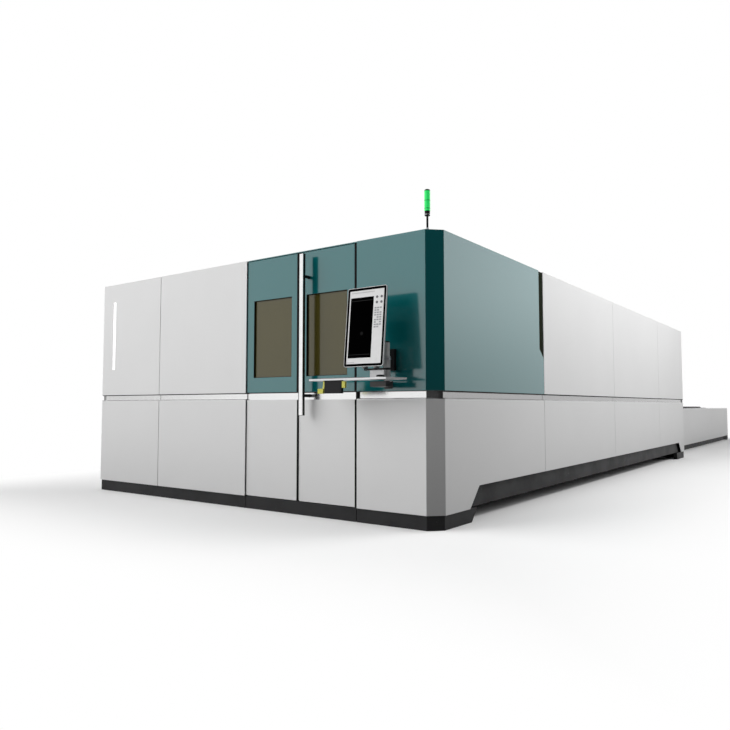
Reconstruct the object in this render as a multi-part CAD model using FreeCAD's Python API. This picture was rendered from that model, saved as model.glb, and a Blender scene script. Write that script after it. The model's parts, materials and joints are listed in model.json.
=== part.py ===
"""Enclosed fiber laser cutting machine with a two-level pallet shuttle.

Millimetres, +Z up. The operator's front faces -Y, the pallets run out along +Y, and +X is the
long side on the operator's right. Lengths along the machine are written from the front skin's
face (y = 0) and moved by Y_FRONT on export, which centres the whole machine on the origin.
"""
import os
from math import cos, pi, sin
import FreeCAD
import Part

V = FreeCAD.Vector
os.makedirs("parts", exist_ok=True)

# ---- driving dimensions ----------------------------------------------------------------------
WIDTH = 4370.0          # enclosure, side skin to side skin
HEIGHT = 2300.0         # enclosure, floor to roof
LENGTH = 8930.0         # enclosure, front skin to rear skin
CHAMFER = 105.0         # leg of the cut front right corner
SKIN = 8.0              # folded sheet skins, as their edge shows
PLINTH_H = 112.0        # dark plinth
PLINTH_IN = 10.0        # plinth set back from the skins
BAND_Z0, BAND_Z1 = 997.0, 1057.0   # waist band between the lower and upper skins
BAND_IN = 22.0          # the band's face behind the skins
BAND_T = 3.0
SEAM = 6.0              # gap between fixed panels
SKIRT_TOP = 285.0       # underside of the side skins between the feet
SKIRT_IN = 40.0
CONSOLE_REACH = 300.0   # foremost edge of the console's tray

PAL_L = LENGTH - 2530.0 # the pallets are as long as the enclosure takes
TABLE_END = LENGTH + PAL_L + 1370.0     # end of the exchange table

HW = WIDTH / 2
XA = HW - CHAMFER       # where the front skin meets the cut corner
Y_FRONT = CONSOLE_REACH - (TABLE_END + CONSOLE_REACH) / 2

# front divisions, measured from XA towards -X
T_FIX = 665.0           # fixed teal panel / right leaf
T_MEET = 1300.0         # leaves meet
T_DOOR = 1944.0         # left leaf / white panel
T_WHITE = 3235.0        # between the two white panels
GAP_FIX, GAP_MEET = 16.0, 28.0
SIDE_Y = [LENGTH * s / 8930.0 for s in (2140.0, 4593.0, 7073.0)]   # side divisions, from the front

# sliding leaves, behind the skins
LEAF_Y0 = SKIN + 4.0    # leaf face, with running clearance behind the fixed skin
LEAF_Y1 = BAND_IN + BAND_T + 18.0   # leaf back
LEAF_Z0, LEAF_Z1 = PLINTH_H + 6.0, HEIGHT - SKIN - 4.0
LEAF_TRAVEL = 500.0
GROOVE_CLEAR = 4.0      # the leaf's groove around the fixed band
LEAF_BAND_Y = BAND_IN + BAND_T + 3.0
WIN_Z0, WIN_Z1 = 1197.0, HEIGHT - 390.0
STILE_R, STILE_MEET, STILE_L = 100.0, 87.0, 88.0    # leaf beside its window, from the right
WIN_R = (T_FIX + STILE_R, T_MEET - STILE_MEET)      # right window, from XA
WIN_L = (T_MEET + STILE_MEET, T_DOOR - STILE_L)     # left window
GLASS_T = 6.0

# frame
TUBE = 80.0
TUBE_WALL = 5.0
FRAME_Y0 = 70.0         # face of the door posts and header, behind the leaf track
ROOF_Z = HEIGHT - SKIN

# pallet shuttle
RAIL_X1 = HW - 585.0    # outer edge of the wheel ledges
RAIL_X0 = RAIL_X1 - 170.0
PAL_W = 2 * (RAIL_X0 - 10.0)        # pallet frame, outside
PAL_IN_Y = 1950.0       # front end of the lower pallet, inside
PAL_OUT_Y = LENGTH + 720.0          # front end of the upper pallet, outside
TRAVEL = PAL_OUT_Y - PAL_IN_Y
LOW_Z, UP_Z = 520.0, 780.0      # underside of the two pallet frames
WHEEL_R, WHEEL_W = 50.0, 36.0
AXLE_DZ = 10.0          # wheel axle above the frame's underside
LEDGE_T = 36.0
SLAT_PITCH, SLAT_T, SLAT_H = 200.0, 5.0, 115.0
TEETH = 5
SLAT_Z = 52.0           # slats stand on ledges this far above the frame's underside
SLAT_END = 1.0          # slat ends clear of the side tubes

# bed and gantry
BED_X0, BED_X1, BED_Z0, BED_Z1 = RAIL_X1, RAIL_X1 + 240.0, 300.0, 1000.0
BED_Y0, BED_Y1 = 850.0, LENGTH - 170.0
RACK_X, GUIDE_X = BED_X0 + 90.0, BED_X0 + 180.0
GUIDE_H = 34.0
BEAM_Z0, BEAM_Z1 = 1165.0, 1500.0
BEAM_Y0, BEAM_Y1 = 1010.0, 1350.0
BEAM_HX = BED_X1 + 10.0     # half length of the beam
BEAM_WALL = 14.0
CARR_X = 350.0 - BED_X0     # carriage centre at rest
NOZZLE_Z = 980.0

# rear passage for the pallets
PASS_X, PASS_Z0, PASS_Z1 = RAIL_X1 + 12.0, 380.0, 1110.0

# exchange table
TAB_HW = HW - 340.0
TAB_Y0 = LENGTH + 30.0
TAB_TOP = 870.0
TAB_PL = 118.0


def box(x0, x1, y0, y1, z0, z1):
    lo = V(min(x0, x1), min(y0, y1), min(z0, z1))
    return Part.makeBox(abs(x1 - x0), abs(y1 - y0), abs(z1 - z0), lo)


def cyl(r, h, at, axis=(0, 0, 1)):
    return Part.makeCylinder(r, h, V(*at), V(*axis))


def tube(x0, x1, y0, y1, z0, z1, axis, wall=TUBE_WALL):
    """Square section, open at its two ends along the named axis."""
    dx, dy, dz = (-1.0 if axis == k else wall for k in "xyz")
    return box(x0, x1, y0, y1, z0, z1).cut(
        box(x0 + dx, x1 - dx, y0 + dy, y1 - dy, z0 + dz, z1 - dz))


def ring(r, at, sides, axis):
    """Corners of a regular polygon of circumradius r, square to the axis."""
    pts = []
    for k in range(sides):
        a = 2 * pi * (k + 0.5) / sides
        u, v = r * cos(a), r * sin(a)
        pts.append(V(*at) + {"x": V(0, u, v), "y": V(v, 0, u), "z": V(u, v, 0)}[axis])
    return pts


def turned(rings, at, axis="z", sides=20):
    """A small round part with flat facets, through (radius, distance along the axis) rings."""
    step = {"x": V(1, 0, 0), "y": V(0, 1, 0), "z": V(0, 0, 1)}[axis]
    loops = [[q + step * d for q in ring(r, at, sides, axis)] for r, d in rings]
    faces = [Part.Face(Part.makePolygon(loop + loop[:1])) for loop in (loops[0], loops[-1])]
    for lo, hi in zip(loops, loops[1:]):
        for k in range(sides):
            n = (k + 1) % sides
            faces.append(Part.Face(Part.makePolygon([lo[k], lo[n], hi[n], hi[k], lo[k]])))
    solid = Part.Solid(Part.Shell(faces))
    if solid.Volume < 0:
        solid.reverse()
    return solid


def prism_z(points, z0, z1):
    wire = Part.makePolygon([V(x, y, z0) for x, y in points + points[:1]])
    return Part.Face(wire).extrude(V(0, 0, z1 - z0))


def prism_x(points, x0, x1):
    wire = Part.makePolygon([V(x0, y, z) for y, z in points + points[:1]])
    return Part.Face(wire).extrude(V(x1 - x0, 0, 0))


def prism_y(points, y0, y1):
    wire = Part.makePolygon([V(x, y0, z) for x, z in points + points[:1]])
    return Part.Face(wire).extrude(V(0, y1 - y0, 0))


def joined(shapes):
    one = shapes[0]
    for s in shapes[1:]:
        one = one.fuse(s)
    return one.removeSplitter()


def mirror_x(shape):
    return shape.mirror(V(0, 0, 0), V(1, 0, 0))


def both(shape):
    return [shape, mirror_x(shape)]


def at_t(t):
    """X of a point t from the cut corner's front edge."""
    return XA - t


def corner(d):
    """The front right corner's two vertices, on a line d inside the skin's face."""
    k = d * (2 ** 0.5 - 1)
    return (XA - k, d), (HW - d, CHAMFER + k)


def export(name, shapes):
    shape = Part.makeCompound(shapes) if isinstance(shapes, list) else shapes
    shape = shape.copy()
    shape.translate(V(0, Y_FRONT, 0))
    shape.exportStep("parts/" + name + ".step")


def corner_shell(x_left, y_far, d0, d1, z0, z1):
    """A sheet folded round the cut corner, from x_left on the front to y_far on the side."""
    a0, b0 = corner(d0)
    a1, b1 = corner(d1)
    return prism_z(
        [(x_left, d0), a0, b0, (HW - d0, y_far), (HW - d1, y_far), b1, a1, (x_left, d1)], z0, z1
    )


# ---- front right corner: teal skin, light lower skin with the band ----------------------------
x_fix = at_t(T_FIX - GAP_FIX / 2)
SLOT_Y0, SLOT_ZL, SLOT_ZR = SIDE_Y[0] - 109.0, HEIGHT - 795.0, HEIGHT - 885.0
side_end = SIDE_Y[0] - SEAM / 2

upper = corner_shell(x_fix, side_end, 0, SKIN, BAND_Z1, HEIGHT)
slot = prism_x(
    [(SLOT_Y0, HEIGHT + 5), (SLOT_Y0, SLOT_ZL), (side_end + 5, SLOT_ZR), (side_end + 5, HEIGHT + 5)],
    HW - 30, HW + 30,
)
upper = upper.cut(slot)
# top return over the leaf track, down to the header
a8, b8 = corner(SKIN)
upper_return = prism_z(
    [(x_fix, SKIN), a8, b8, (HW - SKIN, CHAMFER + 95), (HW - SKIN - TUBE, CHAMFER + 95),
     (HW - SKIN - TUBE, FRAME_Y0 + TUBE), (x_fix, FRAME_Y0 + TUBE)],
    ROOF_Z, HEIGHT,
)
export("skin_upper_corner", joined([upper, upper_return]))

lower = corner_shell(x_fix, side_end, 0, SKIN, PLINTH_H, BAND_Z0)
FOOT_Y0, FOOT_Y1 = 510.0, 675.0     # the slanted foot, at the plinth and at the skirt
under = prism_x(
    [(FOOT_Y0, PLINTH_H - 5), (FOOT_Y0, PLINTH_H), (FOOT_Y1, SKIRT_TOP),
     (side_end + 5, SKIRT_TOP), (side_end + 5, PLINTH_H - 5)],
    HW - 30, HW + 30,
)
lower = lower.cut(under)
band = corner_shell(x_fix, side_end, BAND_IN, BAND_IN + BAND_T, BAND_Z0, BAND_Z1)
shelf = corner_shell(x_fix, side_end, SKIN - 3, BAND_IN + 1, BAND_Z0 - 0.0, BAND_Z0 + 3)
roof_lip = corner_shell(x_fix, side_end, SKIN - 3, BAND_IN + 1, BAND_Z1 - 3, BAND_Z1)
lower = joined([lower, band, shelf, roof_lip.cut(upper)])
export("skin_lower_corner", lower)

# amber strip window in the side notch
export("side_window", prism_x(
    [(SLOT_Y0 - 15, ROOF_Z - 2), (SLOT_Y0 - 15, SLOT_ZL - 20), (side_end, SLOT_ZR - 20),
     (side_end, ROOF_Z - 2)],
    HW - SKIN - GLASS_T, HW - SKIN,
))

# ---- front left: two white panels above, two light panels below --------------------------------
def front_pair(t0, t1, end):
    """One fixed front bay between t0 and t1; end is True where it turns the left corner."""
    x1 = at_t(t0 + SEAM / 2)
    x0 = -HW if end else at_t(t1 - SEAM / 2)
    up = box(x0, x1, 0, SKIN, BAND_Z1, HEIGHT)
    ret = box(x0 + (SKIN if end else 0), x1, SKIN, FRAME_Y0 + TUBE, ROOF_Z, HEIGHT)
    low = box(x0, x1, 0, SKIN, PLINTH_H, BAND_Z0)
    strip = box(x0, x1, BAND_IN, BAND_IN + BAND_T, BAND_Z0, BAND_Z1)
    s0 = box(x0, x1, SKIN - 3, BAND_IN + 1, BAND_Z0, BAND_Z0 + 3)
    s1 = box(x0, x1, SKIN, BAND_IN + 1, BAND_Z1 - 3, BAND_Z1)
    return joined([up, ret]), joined([low, strip, s0, s1])


u1, l1 = front_pair(T_DOOR, T_WHITE, False)
u2, l2 = front_pair(T_WHITE, 0, True)
strip_light_x0, strip_light_x1 = 185.0 - HW, 229.0 - HW
LS_Z0, LS_Z1 = 1340.0, HEIGHT - 200.0
pocket = box(strip_light_x0, strip_light_x1, -1, 5, LS_Z0, LS_Z1)
u2 = u2.cut(pocket)
export("skin_upper_front", [u1, u2])
export("skin_lower_front", [l1, l2])
export("light_strip", box(strip_light_x0 + 2, strip_light_x1 - 2, 1, 5, LS_Z0 + 2, LS_Z1 - 2))

# ---- long sides -------------------------------------------------------------------------------
FAR_Y1, FAR_Y0 = LENGTH - 440.0, LENGTH - 265.0     # the far foot's slant, at the skirt and at the plinth


def side_bay(y0, y1, foot):
    """Upper and lower skin of one bay of the +X side."""
    up = box(HW - SKIN, HW, y0, y1, BAND_Z1, HEIGHT)
    if foot:
        low = prism_x(
            [(y0, SKIRT_TOP), (FAR_Y1, SKIRT_TOP), (FAR_Y0, PLINTH_H), (y1, PLINTH_H),
             (y1, BAND_Z0), (y0, BAND_Z0)], HW - SKIN, HW)
    else:
        low = box(HW - SKIN, HW, y0, y1, SKIRT_TOP, BAND_Z0)
    y2 = min(y1, LENGTH - SKIN)
    strip = box(HW - BAND_IN - BAND_T, HW - BAND_IN, y0, y2, BAND_Z0, BAND_Z1)
    s0 = box(HW - BAND_IN - 1, HW - SKIN + 3, y0, y2, BAND_Z0, BAND_Z0 + 3)
    s1 = box(HW - BAND_IN - 1, HW - SKIN, y0, y2, BAND_Z1 - 3, BAND_Z1)
    return up, joined([low, strip, s0, s1])


ups, lows = [], []
for y0, y1, foot in (
    (SIDE_Y[0], SIDE_Y[1], False), (SIDE_Y[1], SIDE_Y[2], False), (SIDE_Y[2], LENGTH, True)
):
    last = foot
    u, l = side_bay(y0 + SEAM / 2, y1 if last else y1 - SEAM / 2, foot)
    ups.append(u)
    lows.append(l)
export("skin_upper_right", ups)
export("skin_lower_right", lows)

# the -X side is square at its front corner, and closed down to the skirt along its length
left_up, left_low = [], []
for y0, y1, foot in (
    (SKIN, SIDE_Y[0], "near"), (SIDE_Y[0], SIDE_Y[1], ""), (SIDE_Y[1], SIDE_Y[2], ""),
    (SIDE_Y[2], LENGTH, "far"),
):
    a = y0 if y0 == SKIN else y0 + SEAM / 2
    b = y1 if y1 == LENGTH else y1 - SEAM / 2
    left_up.append(box(-HW, -HW + SKIN, a, b, BAND_Z1, HEIGHT))
    if foot == "near":
        low = prism_x([(a, PLINTH_H), (FOOT_Y0, PLINTH_H), (FOOT_Y1, SKIRT_TOP), (b, SKIRT_TOP),
                       (b, BAND_Z0), (a, BAND_Z0)], -HW, -HW + SKIN)
    elif foot == "far":
        low = prism_x([(a, SKIRT_TOP), (FAR_Y1, SKIRT_TOP), (FAR_Y0, PLINTH_H), (b, PLINTH_H),
                       (b, BAND_Z0), (a, BAND_Z0)], -HW, -HW + SKIN)
    else:
        low = box(-HW, -HW + SKIN, a, b, SKIRT_TOP, BAND_Z0)
    a2 = BAND_IN + BAND_T if foot == "near" else a
    b2 = min(b, LENGTH - SKIN)
    strip = box(-HW + BAND_IN, -HW + BAND_IN + BAND_T, a2, b2, BAND_Z0, BAND_Z1)
    s0 = box(-HW + SKIN - 3, -HW + BAND_IN + 1, a2, b2, BAND_Z0, BAND_Z0 + 3)
    s1 = box(-HW + SKIN, -HW + BAND_IN + 1, a2, b2, BAND_Z1 - 3, BAND_Z1)
    left_low.append(joined([low, strip, s0, s1]))
export("skin_upper_left", left_up)
export("skin_lower_left", left_low)

# ---- plinths and skirts -----------------------------------------------------------------------
pl = PLINTH_IN
P_TOP, P_BOT = 650.0, 553.0         # the near side foot's slanted end
c0, c1 = corner(pl), corner(pl + 60)
front_leg = prism_z(
    [(at_t(T_FIX - 2), pl), c0[0], c0[1], (HW - pl, P_BOT), (HW - pl - 60, P_BOT), c1[1], c1[0],
     (at_t(T_FIX - 2), pl + 60)], 0, PLINTH_H)
wedge = prism_x([(P_BOT, 0), (P_TOP, PLINTH_H), (P_BOT, PLINTH_H)], HW - pl - 60, HW - pl)
plinths = [joined([front_leg, wedge]),
           box(at_t(T_DOOR - 2), at_t(T_FIX + 2), pl, pl + 60, 0, PLINTH_H)]
left_pl = [
    box(-HW + pl, at_t(T_DOOR + 2), pl, pl + 60, 0, PLINTH_H),
    prism_x([(pl + 60, 0), (P_BOT, 0), (P_TOP, PLINTH_H), (pl + 60, PLINTH_H)],
            -HW + pl, -HW + pl + 60),
]
plinths.append(joined(left_pl))
FARP_TOP, FARP_BOT = LENGTH - 580.0, LENGTH - 555.0
far = prism_x([(FARP_BOT, 0), (LENGTH - pl, 0), (LENGTH - pl, PLINTH_H), (FARP_TOP, PLINTH_H)],
              HW - pl - 60, HW - pl)
rear_pl = box(-HW + pl + 60, HW - pl - 60, LENGTH - pl - 60, LENGTH - pl, 0, PLINTH_H)
plinths.append(joined([far, mirror_x(far), rear_pl]))
export("plinth", plinths)
skirt = prism_x(
    [(P_TOP - 60, PLINTH_H + 3), (FAR_Y0 - 38, PLINTH_H + 3), (FAR_Y1 - 35, SKIRT_TOP),
     (FAR_Y1 - 35, SKIRT_TOP + 45), (FOOT_Y1 - 160, SKIRT_TOP + 45)], HW - SKIRT_IN - SKIN, HW - SKIRT_IN)
export("skirts", both(skirt))

# ---- welded frame -----------------------------------------------------------------------------
ZF0, ZF1 = PLINTH_H, ROOF_Z
back_x = HW - SKIN
leg_x = HW - SKIRT_IN - SKIN            # low rails and post ends stop at the skirt's back
SKIRT_Z1 = SKIRT_TOP + 45.0
LOW_Z0, LOW_Z1 = 200.0, 280.0           # low rail
CORNER_X0 = XA - 125.0  # the corner post starts past the parked leaf
CORNER_Y1 = 210.0
corner_post = prism_z(
    [(CORNER_X0, SKIN), a8, b8, (back_x, CORNER_Y1), (back_x - TUBE, CORNER_Y1),
     (back_x - TUBE, FRAME_Y0 + TUBE), (CORNER_X0, FRAME_Y0 + TUBE)], ZF0, ZF1)
groove = corner_shell(CORNER_X0 - 50, CORNER_Y1 + 20, SKIN, BAND_IN + BAND_T, BAND_Z0 - 1, BAND_Z1 + 1)
corner_post = corner_post.cut(groove).cut(
    box(CORNER_X0 + 6, HW - 115.0, BAND_IN + BAND_T + 6, FRAME_Y0 + TUBE - 6, ZF0 - 1, ZF1 + 1))
left_post = box(-back_x, -back_x + TUBE, SKIN, FRAME_Y0 + TUBE, ZF0, ZF1).cut(
    joined([box(-back_x, -back_x + 100, 0, BAND_IN + BAND_T, BAND_Z0 - 1, BAND_Z1 + 1),
            box(-back_x, -back_x + BAND_IN + BAND_T - SKIN, 0, 200, BAND_Z0 - 1, BAND_Z1 + 1),
            box(-back_x + 26, -back_x + TUBE - 6, BAND_IN + BAND_T + 6, FRAME_Y0 + TUBE - 6,
                ZF0 - 1, ZF1 + 1)]))
mid_post = box(at_t(T_WHITE) - TUBE / 2, at_t(T_WHITE) + TUBE / 2, SKIN, FRAME_Y0, ZF0, ZF1).cut(
    box(-3000, 3000, 0, BAND_IN + BAND_T, BAND_Z0 - 1, BAND_Z1 + 1))
DP_R0 = at_t(T_FIX) + 22.0      # door posts stand clear of the doorway
DP_L1 = at_t(T_DOOR) - 8.0
front_posts = [tube(x, x + TUBE, FRAME_Y0, FRAME_Y0 + TUBE, ZF0 + TUBE, ZF1 - TUBE, "z")
               for x in (DP_R0, DP_L1 - TUBE, at_t(T_WHITE) - TUBE / 2)]
front_rails = [tube(-back_x + TUBE, CORNER_X0, FRAME_Y0, FRAME_Y0 + TUBE, z, z + TUBE, "x")
               for z in (ZF0, ZF1 - TUBE)]
export("frame_front", [corner_post, left_post, mid_post] + front_posts + front_rails)

groove_s = box(HW - BAND_IN - BAND_T, HW, 0, LENGTH, BAND_Z0 - 1, BAND_Z1 + 1)
slot_room = box(HW - SKIN - GLASS_T, HW, SLOT_Y0 - 20, side_end + 3, SLOT_ZR - 25, ROOF_Z - 1)
side_frame = [
    tube(back_x - TUBE, back_x, CORNER_Y1, LENGTH - SKIN, ZF1 - TUBE, ZF1, "y"),
    tube(back_x - TUBE, leg_x, CORNER_Y1, LENGTH - SKIN - TUBE, LOW_Z0, LOW_Z1, "y"),
    tube(back_x - TUBE, back_x, LENGTH - SKIN - TUBE, LENGTH - SKIN, ZF0, ZF1 - TUBE,
         "z").cut(groove_s),
]
for y in SIDE_Y:
    ya, yb = y - TUBE / 2, y + TUBE / 2
    side_frame.append(joined([
        tube(back_x - TUBE, back_x, ya, yb, SKIRT_Z1, ZF1 - TUBE, "z"),
        tube(back_x - TUBE, leg_x, ya, yb, LOW_Z1, SKIRT_Z1, "z"),
    ]).cut(groove_s))
export("frame_right", [m.cut(slot_room) for m in side_frame])
export("frame_left", [mirror_x(m) for m in side_frame])

roof_beams = [tube(-back_x + TUBE, back_x - TUBE, y - TUBE / 2, y + TUBE / 2, ZF1 - TUBE, ZF1, "x")
              for y in SIDE_Y]
export("roof_beams", roof_beams)

rear_y0 = LENGTH - SKIN - TUBE
rear_x = back_x - TUBE
rear_frame = [tube(-rear_x, rear_x, rear_y0, LENGTH - SKIN, z, z + TUBE, "x")
              for z in (ZF0, PASS_Z1, ZF1 - TUBE)]
for z0, z1 in ((ZF0 + TUBE, PASS_Z1), (PASS_Z1 + TUBE, ZF1 - TUBE)):
    rear_frame += both(tube(PASS_X, PASS_X + TUBE, rear_y0, LENGTH - SKIN, z0, z1, "z"))
export("frame_rear", rear_frame)

# ---- rear wall and roof -----------------------------------------------------------------------
ry0, ry1 = LENGTH - SKIN, LENGTH
rx = HW - SKIN
export("skin_rear", [
    box(-rx, rx, ry0, ry1, PASS_Z1 + 30, HEIGHT - SKIN),
    box(PASS_X, rx, ry0, ry1, PLINTH_H, PASS_Z1 + 24),
    box(-rx, -PASS_X, ry0, ry1, PLINTH_H, PASS_Z1 + 24),
    box(-PASS_X + 6, PASS_X - 6, ry0, ry1, PLINTH_H, PASS_Z0),
])
# roof plates between the front returns and the rear edge
roof = []
cuts = [FRAME_Y0 + TUBE] + SIDE_Y + [LENGTH]
for i in range(4):
    ya = cuts[i] if i == 0 else cuts[i] + SEAM / 2
    yb = cuts[i + 1] if i == 3 else cuts[i + 1] - SEAM / 2
    roof.append(box(-rx, rx, ya, yb, ROOF_Z, HEIGHT))
roof[0] = roof[0].cut(box(back_x - TUBE, HW, 0, CHAMFER + 95, ROOF_Z - 5, HEIGHT + 5))
export("roof", roof)
# the strip over the doors carries on the teal edge
export("door_header", box(at_t(T_DOOR - SEAM / 2), at_t(T_FIX - GAP_FIX / 2) - 3, SKIN,
                          FRAME_Y0 + TUBE, ROOF_Z, HEIGHT))

# ---- door track -------------------------------------------------------------------------------
TR_Y0 = LEAF_Y1 + 6.0
TR_Z = HEIGHT - 128.0
TRACK_X0 = at_t(T_DOOR) - LEAF_TRAVEL - 196.0
export("door_track", [
    box(TRACK_X0, CORNER_X0, TR_Y0, FRAME_Y0, TR_Z - 26, TR_Z),
    box(TRACK_X0, CORNER_X0, LEAF_Y1 + 3, FRAME_Y0, ZF0 + 8, ZF0 + 28),
])


# ---- sliding leaves ---------------------------------------------------------------------------
def leaf(x0, x1, win):
    wx0, wx1 = at_t(win[1]), at_t(win[0])
    hole = box(wx0, wx1, -50, 100, WIN_Z0, WIN_Z1)
    skin_top = BAND_Z1 + GROOVE_CLEAR
    teal = box(x0, x1, LEAF_Y0, LEAF_Y0 + SKIN, skin_top, LEAF_Z1).cut(hole)
    core = box(x0, x1, LEAF_Y0 + SKIN, LEAF_Y1, skin_top, LEAF_Z1).cut(hole)
    low = box(x0, x1, LEAF_Y0, LEAF_Y1, LEAF_Z0, BAND_Z0 - GROOVE_CLEAR)
    strip = box(x0, x1, LEAF_BAND_Y, LEAF_Y1, BAND_Z0 - GROOVE_CLEAR, skin_top)
    body = joined([core, low, strip])
    for x in (x0 + 110, x1 - 110):
        wheel = turned([(22, 0), (22, 9)], (x, TR_Y0 + 1, TR_Z + 22), "y")
        stub = box(x - 9, x + 9, LEAF_Y1 - 4, TR_Y0 + 1, TR_Z + 13, TR_Z + 31)
        body = body.fuse(wheel).fuse(stub)
    body = body.removeSplitter()
    glass = box(wx0, wx1, LEAF_Y0 + 14, LEAF_Y0 + 14 + GLASS_T, WIN_Z0, WIN_Z1)
    return body, teal, glass


rx0, rx1 = at_t(T_MEET - GAP_MEET / 2), at_t(T_FIX + GAP_FIX / 2)
lx0, lx1 = at_t(T_DOOR - SEAM / 2), at_t(T_MEET + GAP_MEET / 2)
for side, (xa, xb), win in (("right", (rx0, rx1), WIN_R), ("left", (lx0, lx1), WIN_L)):
    body, teal, glass = leaf(xa, xb, win)
    export("leaf_" + side + "_body", body)
    export("leaf_" + side + "_skin", teal)
    export("leaf_" + side + "_window", glass)

# one tall pull bar on the right leaf
H_X0, H_X1 = at_t(1207.0), at_t(1167.0)
H_Z0, H_Z1 = 857.0, HEIGHT - 47.0
HB_Y0, HB_Y1 = -90.0, -58.0
hx = (H_X0 + H_X1) / 2
export("door_handle", joined([
    box(H_X0, H_X1, HB_Y0, HB_Y1, H_Z0, H_Z1),
    turned([(12, 0), (12, LEAF_Y0 - HB_Y1 + 8)], (hx, HB_Y1 - 8, H_Z1 - 193.0), "y", 16),
    turned([(12, 0), (12, LEAF_BAND_Y - HB_Y1 + 8)], (hx, HB_Y1 - 8, (BAND_Z0 + BAND_Z1) / 2),
           "y", 16),
]))

# ---- operator console -------------------------------------------------------------------------
POST_X, POST_Y, POST_R = at_t(246.0), -165.0, 23.0
ARM_Z0, ARM_Z1 = 1085.0, 1127.0
POST_TOP = 1425.0
arm = joined([
    box(at_t(368.0), at_t(221.0), -215.0, -118.0, ARM_Z0, ARM_Z1),
    box(at_t(368.0), at_t(316.0), -120.0, 0.0, ARM_Z0, ARM_Z1),
    box(at_t(378.0), at_t(306.0), -6.0, 0.0, ARM_Z0 - 10.0, ARM_Z1 + 10.0),
    cyl(POST_R, POST_TOP - ARM_Z1 + 10, (POST_X, POST_Y, ARM_Z1 - 10)),
])
export("console_arm", arm)

TRAY_Z0, TRAY_Z1 = 1139.0, 1153.0
TF, TRR = -CONSOLE_REACH, -112.0
bore_r = POST_R + 0.05
post_bore = cyl(bore_r, 600, (POST_X, POST_Y, 1100))
tray = prism_z(
    [(at_t(915.0), TF), (at_t(156.0), TF), (at_t(86.0), TRR), (at_t(985.0), TRR)],
    TRAY_Z0, TRAY_Z1)
edges = [e for e in tray.Edges if abs(e.tangentAt(e.FirstParameter).z) > 0.9]
tray = tray.makeFillet(16.0, edges)
tray = tray.cut(post_bore)
export("console_tray", tray)

# the carrier turns on the post: hub, box above the tray and the screen's yoke
SCR_T0, SCR_T1, SCR_H = 203.0, 574.0, 622.0
SCR_RIM, SCR_D, SCR_IN = 13.0, 44.0, 26.0   # the shell's rim, its depth, its back set in
SCR_Z0 = 1238.0
TILT = 5.5
PIV_Y, PIV_Z = -188.0, 1335.0       # the tilt pin, behind the screen
SCX = at_t((SCR_T0 + SCR_T1) / 2)
carrier = joined([
    box(at_t(372.0), at_t(240.0), -210.0, -140.0, TRAY_Z1, 1212.0),
    cyl(POST_R + 5, 1320 - TRAY_Z1, (POST_X, POST_Y, TRAY_Z1)),
    box(at_t(440.0), at_t(240.0), -195.0, -150.0, 1212.0, 1228.0),
    box(SCX - 64, SCX - 44, -200.0, -150.0, 1228.0, PIV_Z + 22),
    box(SCX + 44, SCX + 64, -200.0, -150.0, 1228.0, PIV_Z + 22),
]).cut(post_bore)
pin = cyl(7, 128, (SCX - 64, PIV_Y, PIV_Z), (1, 0, 0))
carrier = joined([carrier, pin])
export("console_carrier", carrier)


def tilted(shape):
    """Lean a shape, built upright, about the tilt pin so its top goes back."""
    shape.rotate(V(SCX, PIV_Y, PIV_Z), V(1, 0, 0), -TILT)
    return shape


sy0 = -271.0                        # upright front face of the screen unit
scr_z0, scr_z1 = SCR_Z0 - 8, SCR_Z0 - 8 + SCR_H
sx0, sx1 = at_t(SCR_T1), at_t(SCR_T0)
shell = box(sx0, sx1, sy0, sy0 + SCR_RIM, scr_z0, scr_z1)
shell = shell.makeFillet(18.0, [e for e in shell.Edges if abs(e.tangentAt(e.FirstParameter).y) > 0.9])
back = box(sx0 + SCR_IN, sx1 - SCR_IN, sy0 + SCR_RIM, sy0 + SCR_D, scr_z0 + SCR_IN, scr_z1 - SCR_IN)
back = back.makeChamfer(14.0, [e for e in back.Edges if abs(e.tangentAt(e.FirstParameter).y) > 0.9])
shell = joined([shell, back])
RIM, BEZEL = 3.5, 13.5
recess = box(sx0 + RIM, sx1 - RIM, sy0 - 1, sy0 + 3, scr_z0 + RIM, scr_z1 - RIM)
recess = recess.makeFillet(
    15.0, [e for e in recess.Edges if abs(e.tangentAt(e.FirstParameter).y) > 0.9])
lug = joined([
    box(SCX - 42, SCX + 42, sy0 + SCR_D, PIV_Y + 18, PIV_Z - 22, PIV_Z + 22),
]).cut(cyl(7.05, 200, (SCX - 100, PIV_Y, PIV_Z), (1, 0, 0)))
shell = joined([shell.cut(recess), lug])
export("screen_shell", tilted(shell))
bez = box(sx0 + RIM, sx1 - RIM, sy0 + 1, sy0 + 3, scr_z0 + RIM, scr_z1 - RIM)
bez = bez.makeFillet(15.0, [e for e in bez.Edges if abs(e.tangentAt(e.FirstParameter).y) > 0.9])
inner = box(sx0 + RIM + BEZEL, sx1 - RIM - BEZEL, sy0 - 2, sy0 + 5,
            scr_z0 + RIM + BEZEL, scr_z1 - RIM - BEZEL)
inner = inner.makeFillet(
    6.0, [e for e in inner.Edges if abs(e.tangentAt(e.FirstParameter).y) > 0.9])
export("screen_bezel", tilted(bez.cut(inner)))
face = inner.common(box(sx0, sx1, sy0 + 1, sy0 + 3, scr_z0, scr_z1))
DISP = (sx0 + 34, sx1 - 118, scr_z0 + 68, scr_z1 - 78)
disp_hole = box(DISP[0], DISP[1], sy0 - 2, sy0 + 6, DISP[2], DISP[3])
export("screen_face", tilted(face.cut(disp_hole)))
export("screen_display", tilted(box(DISP[0], DISP[1], sy0 + 1, sy0 + 3, DISP[2], DISP[3])))

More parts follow.
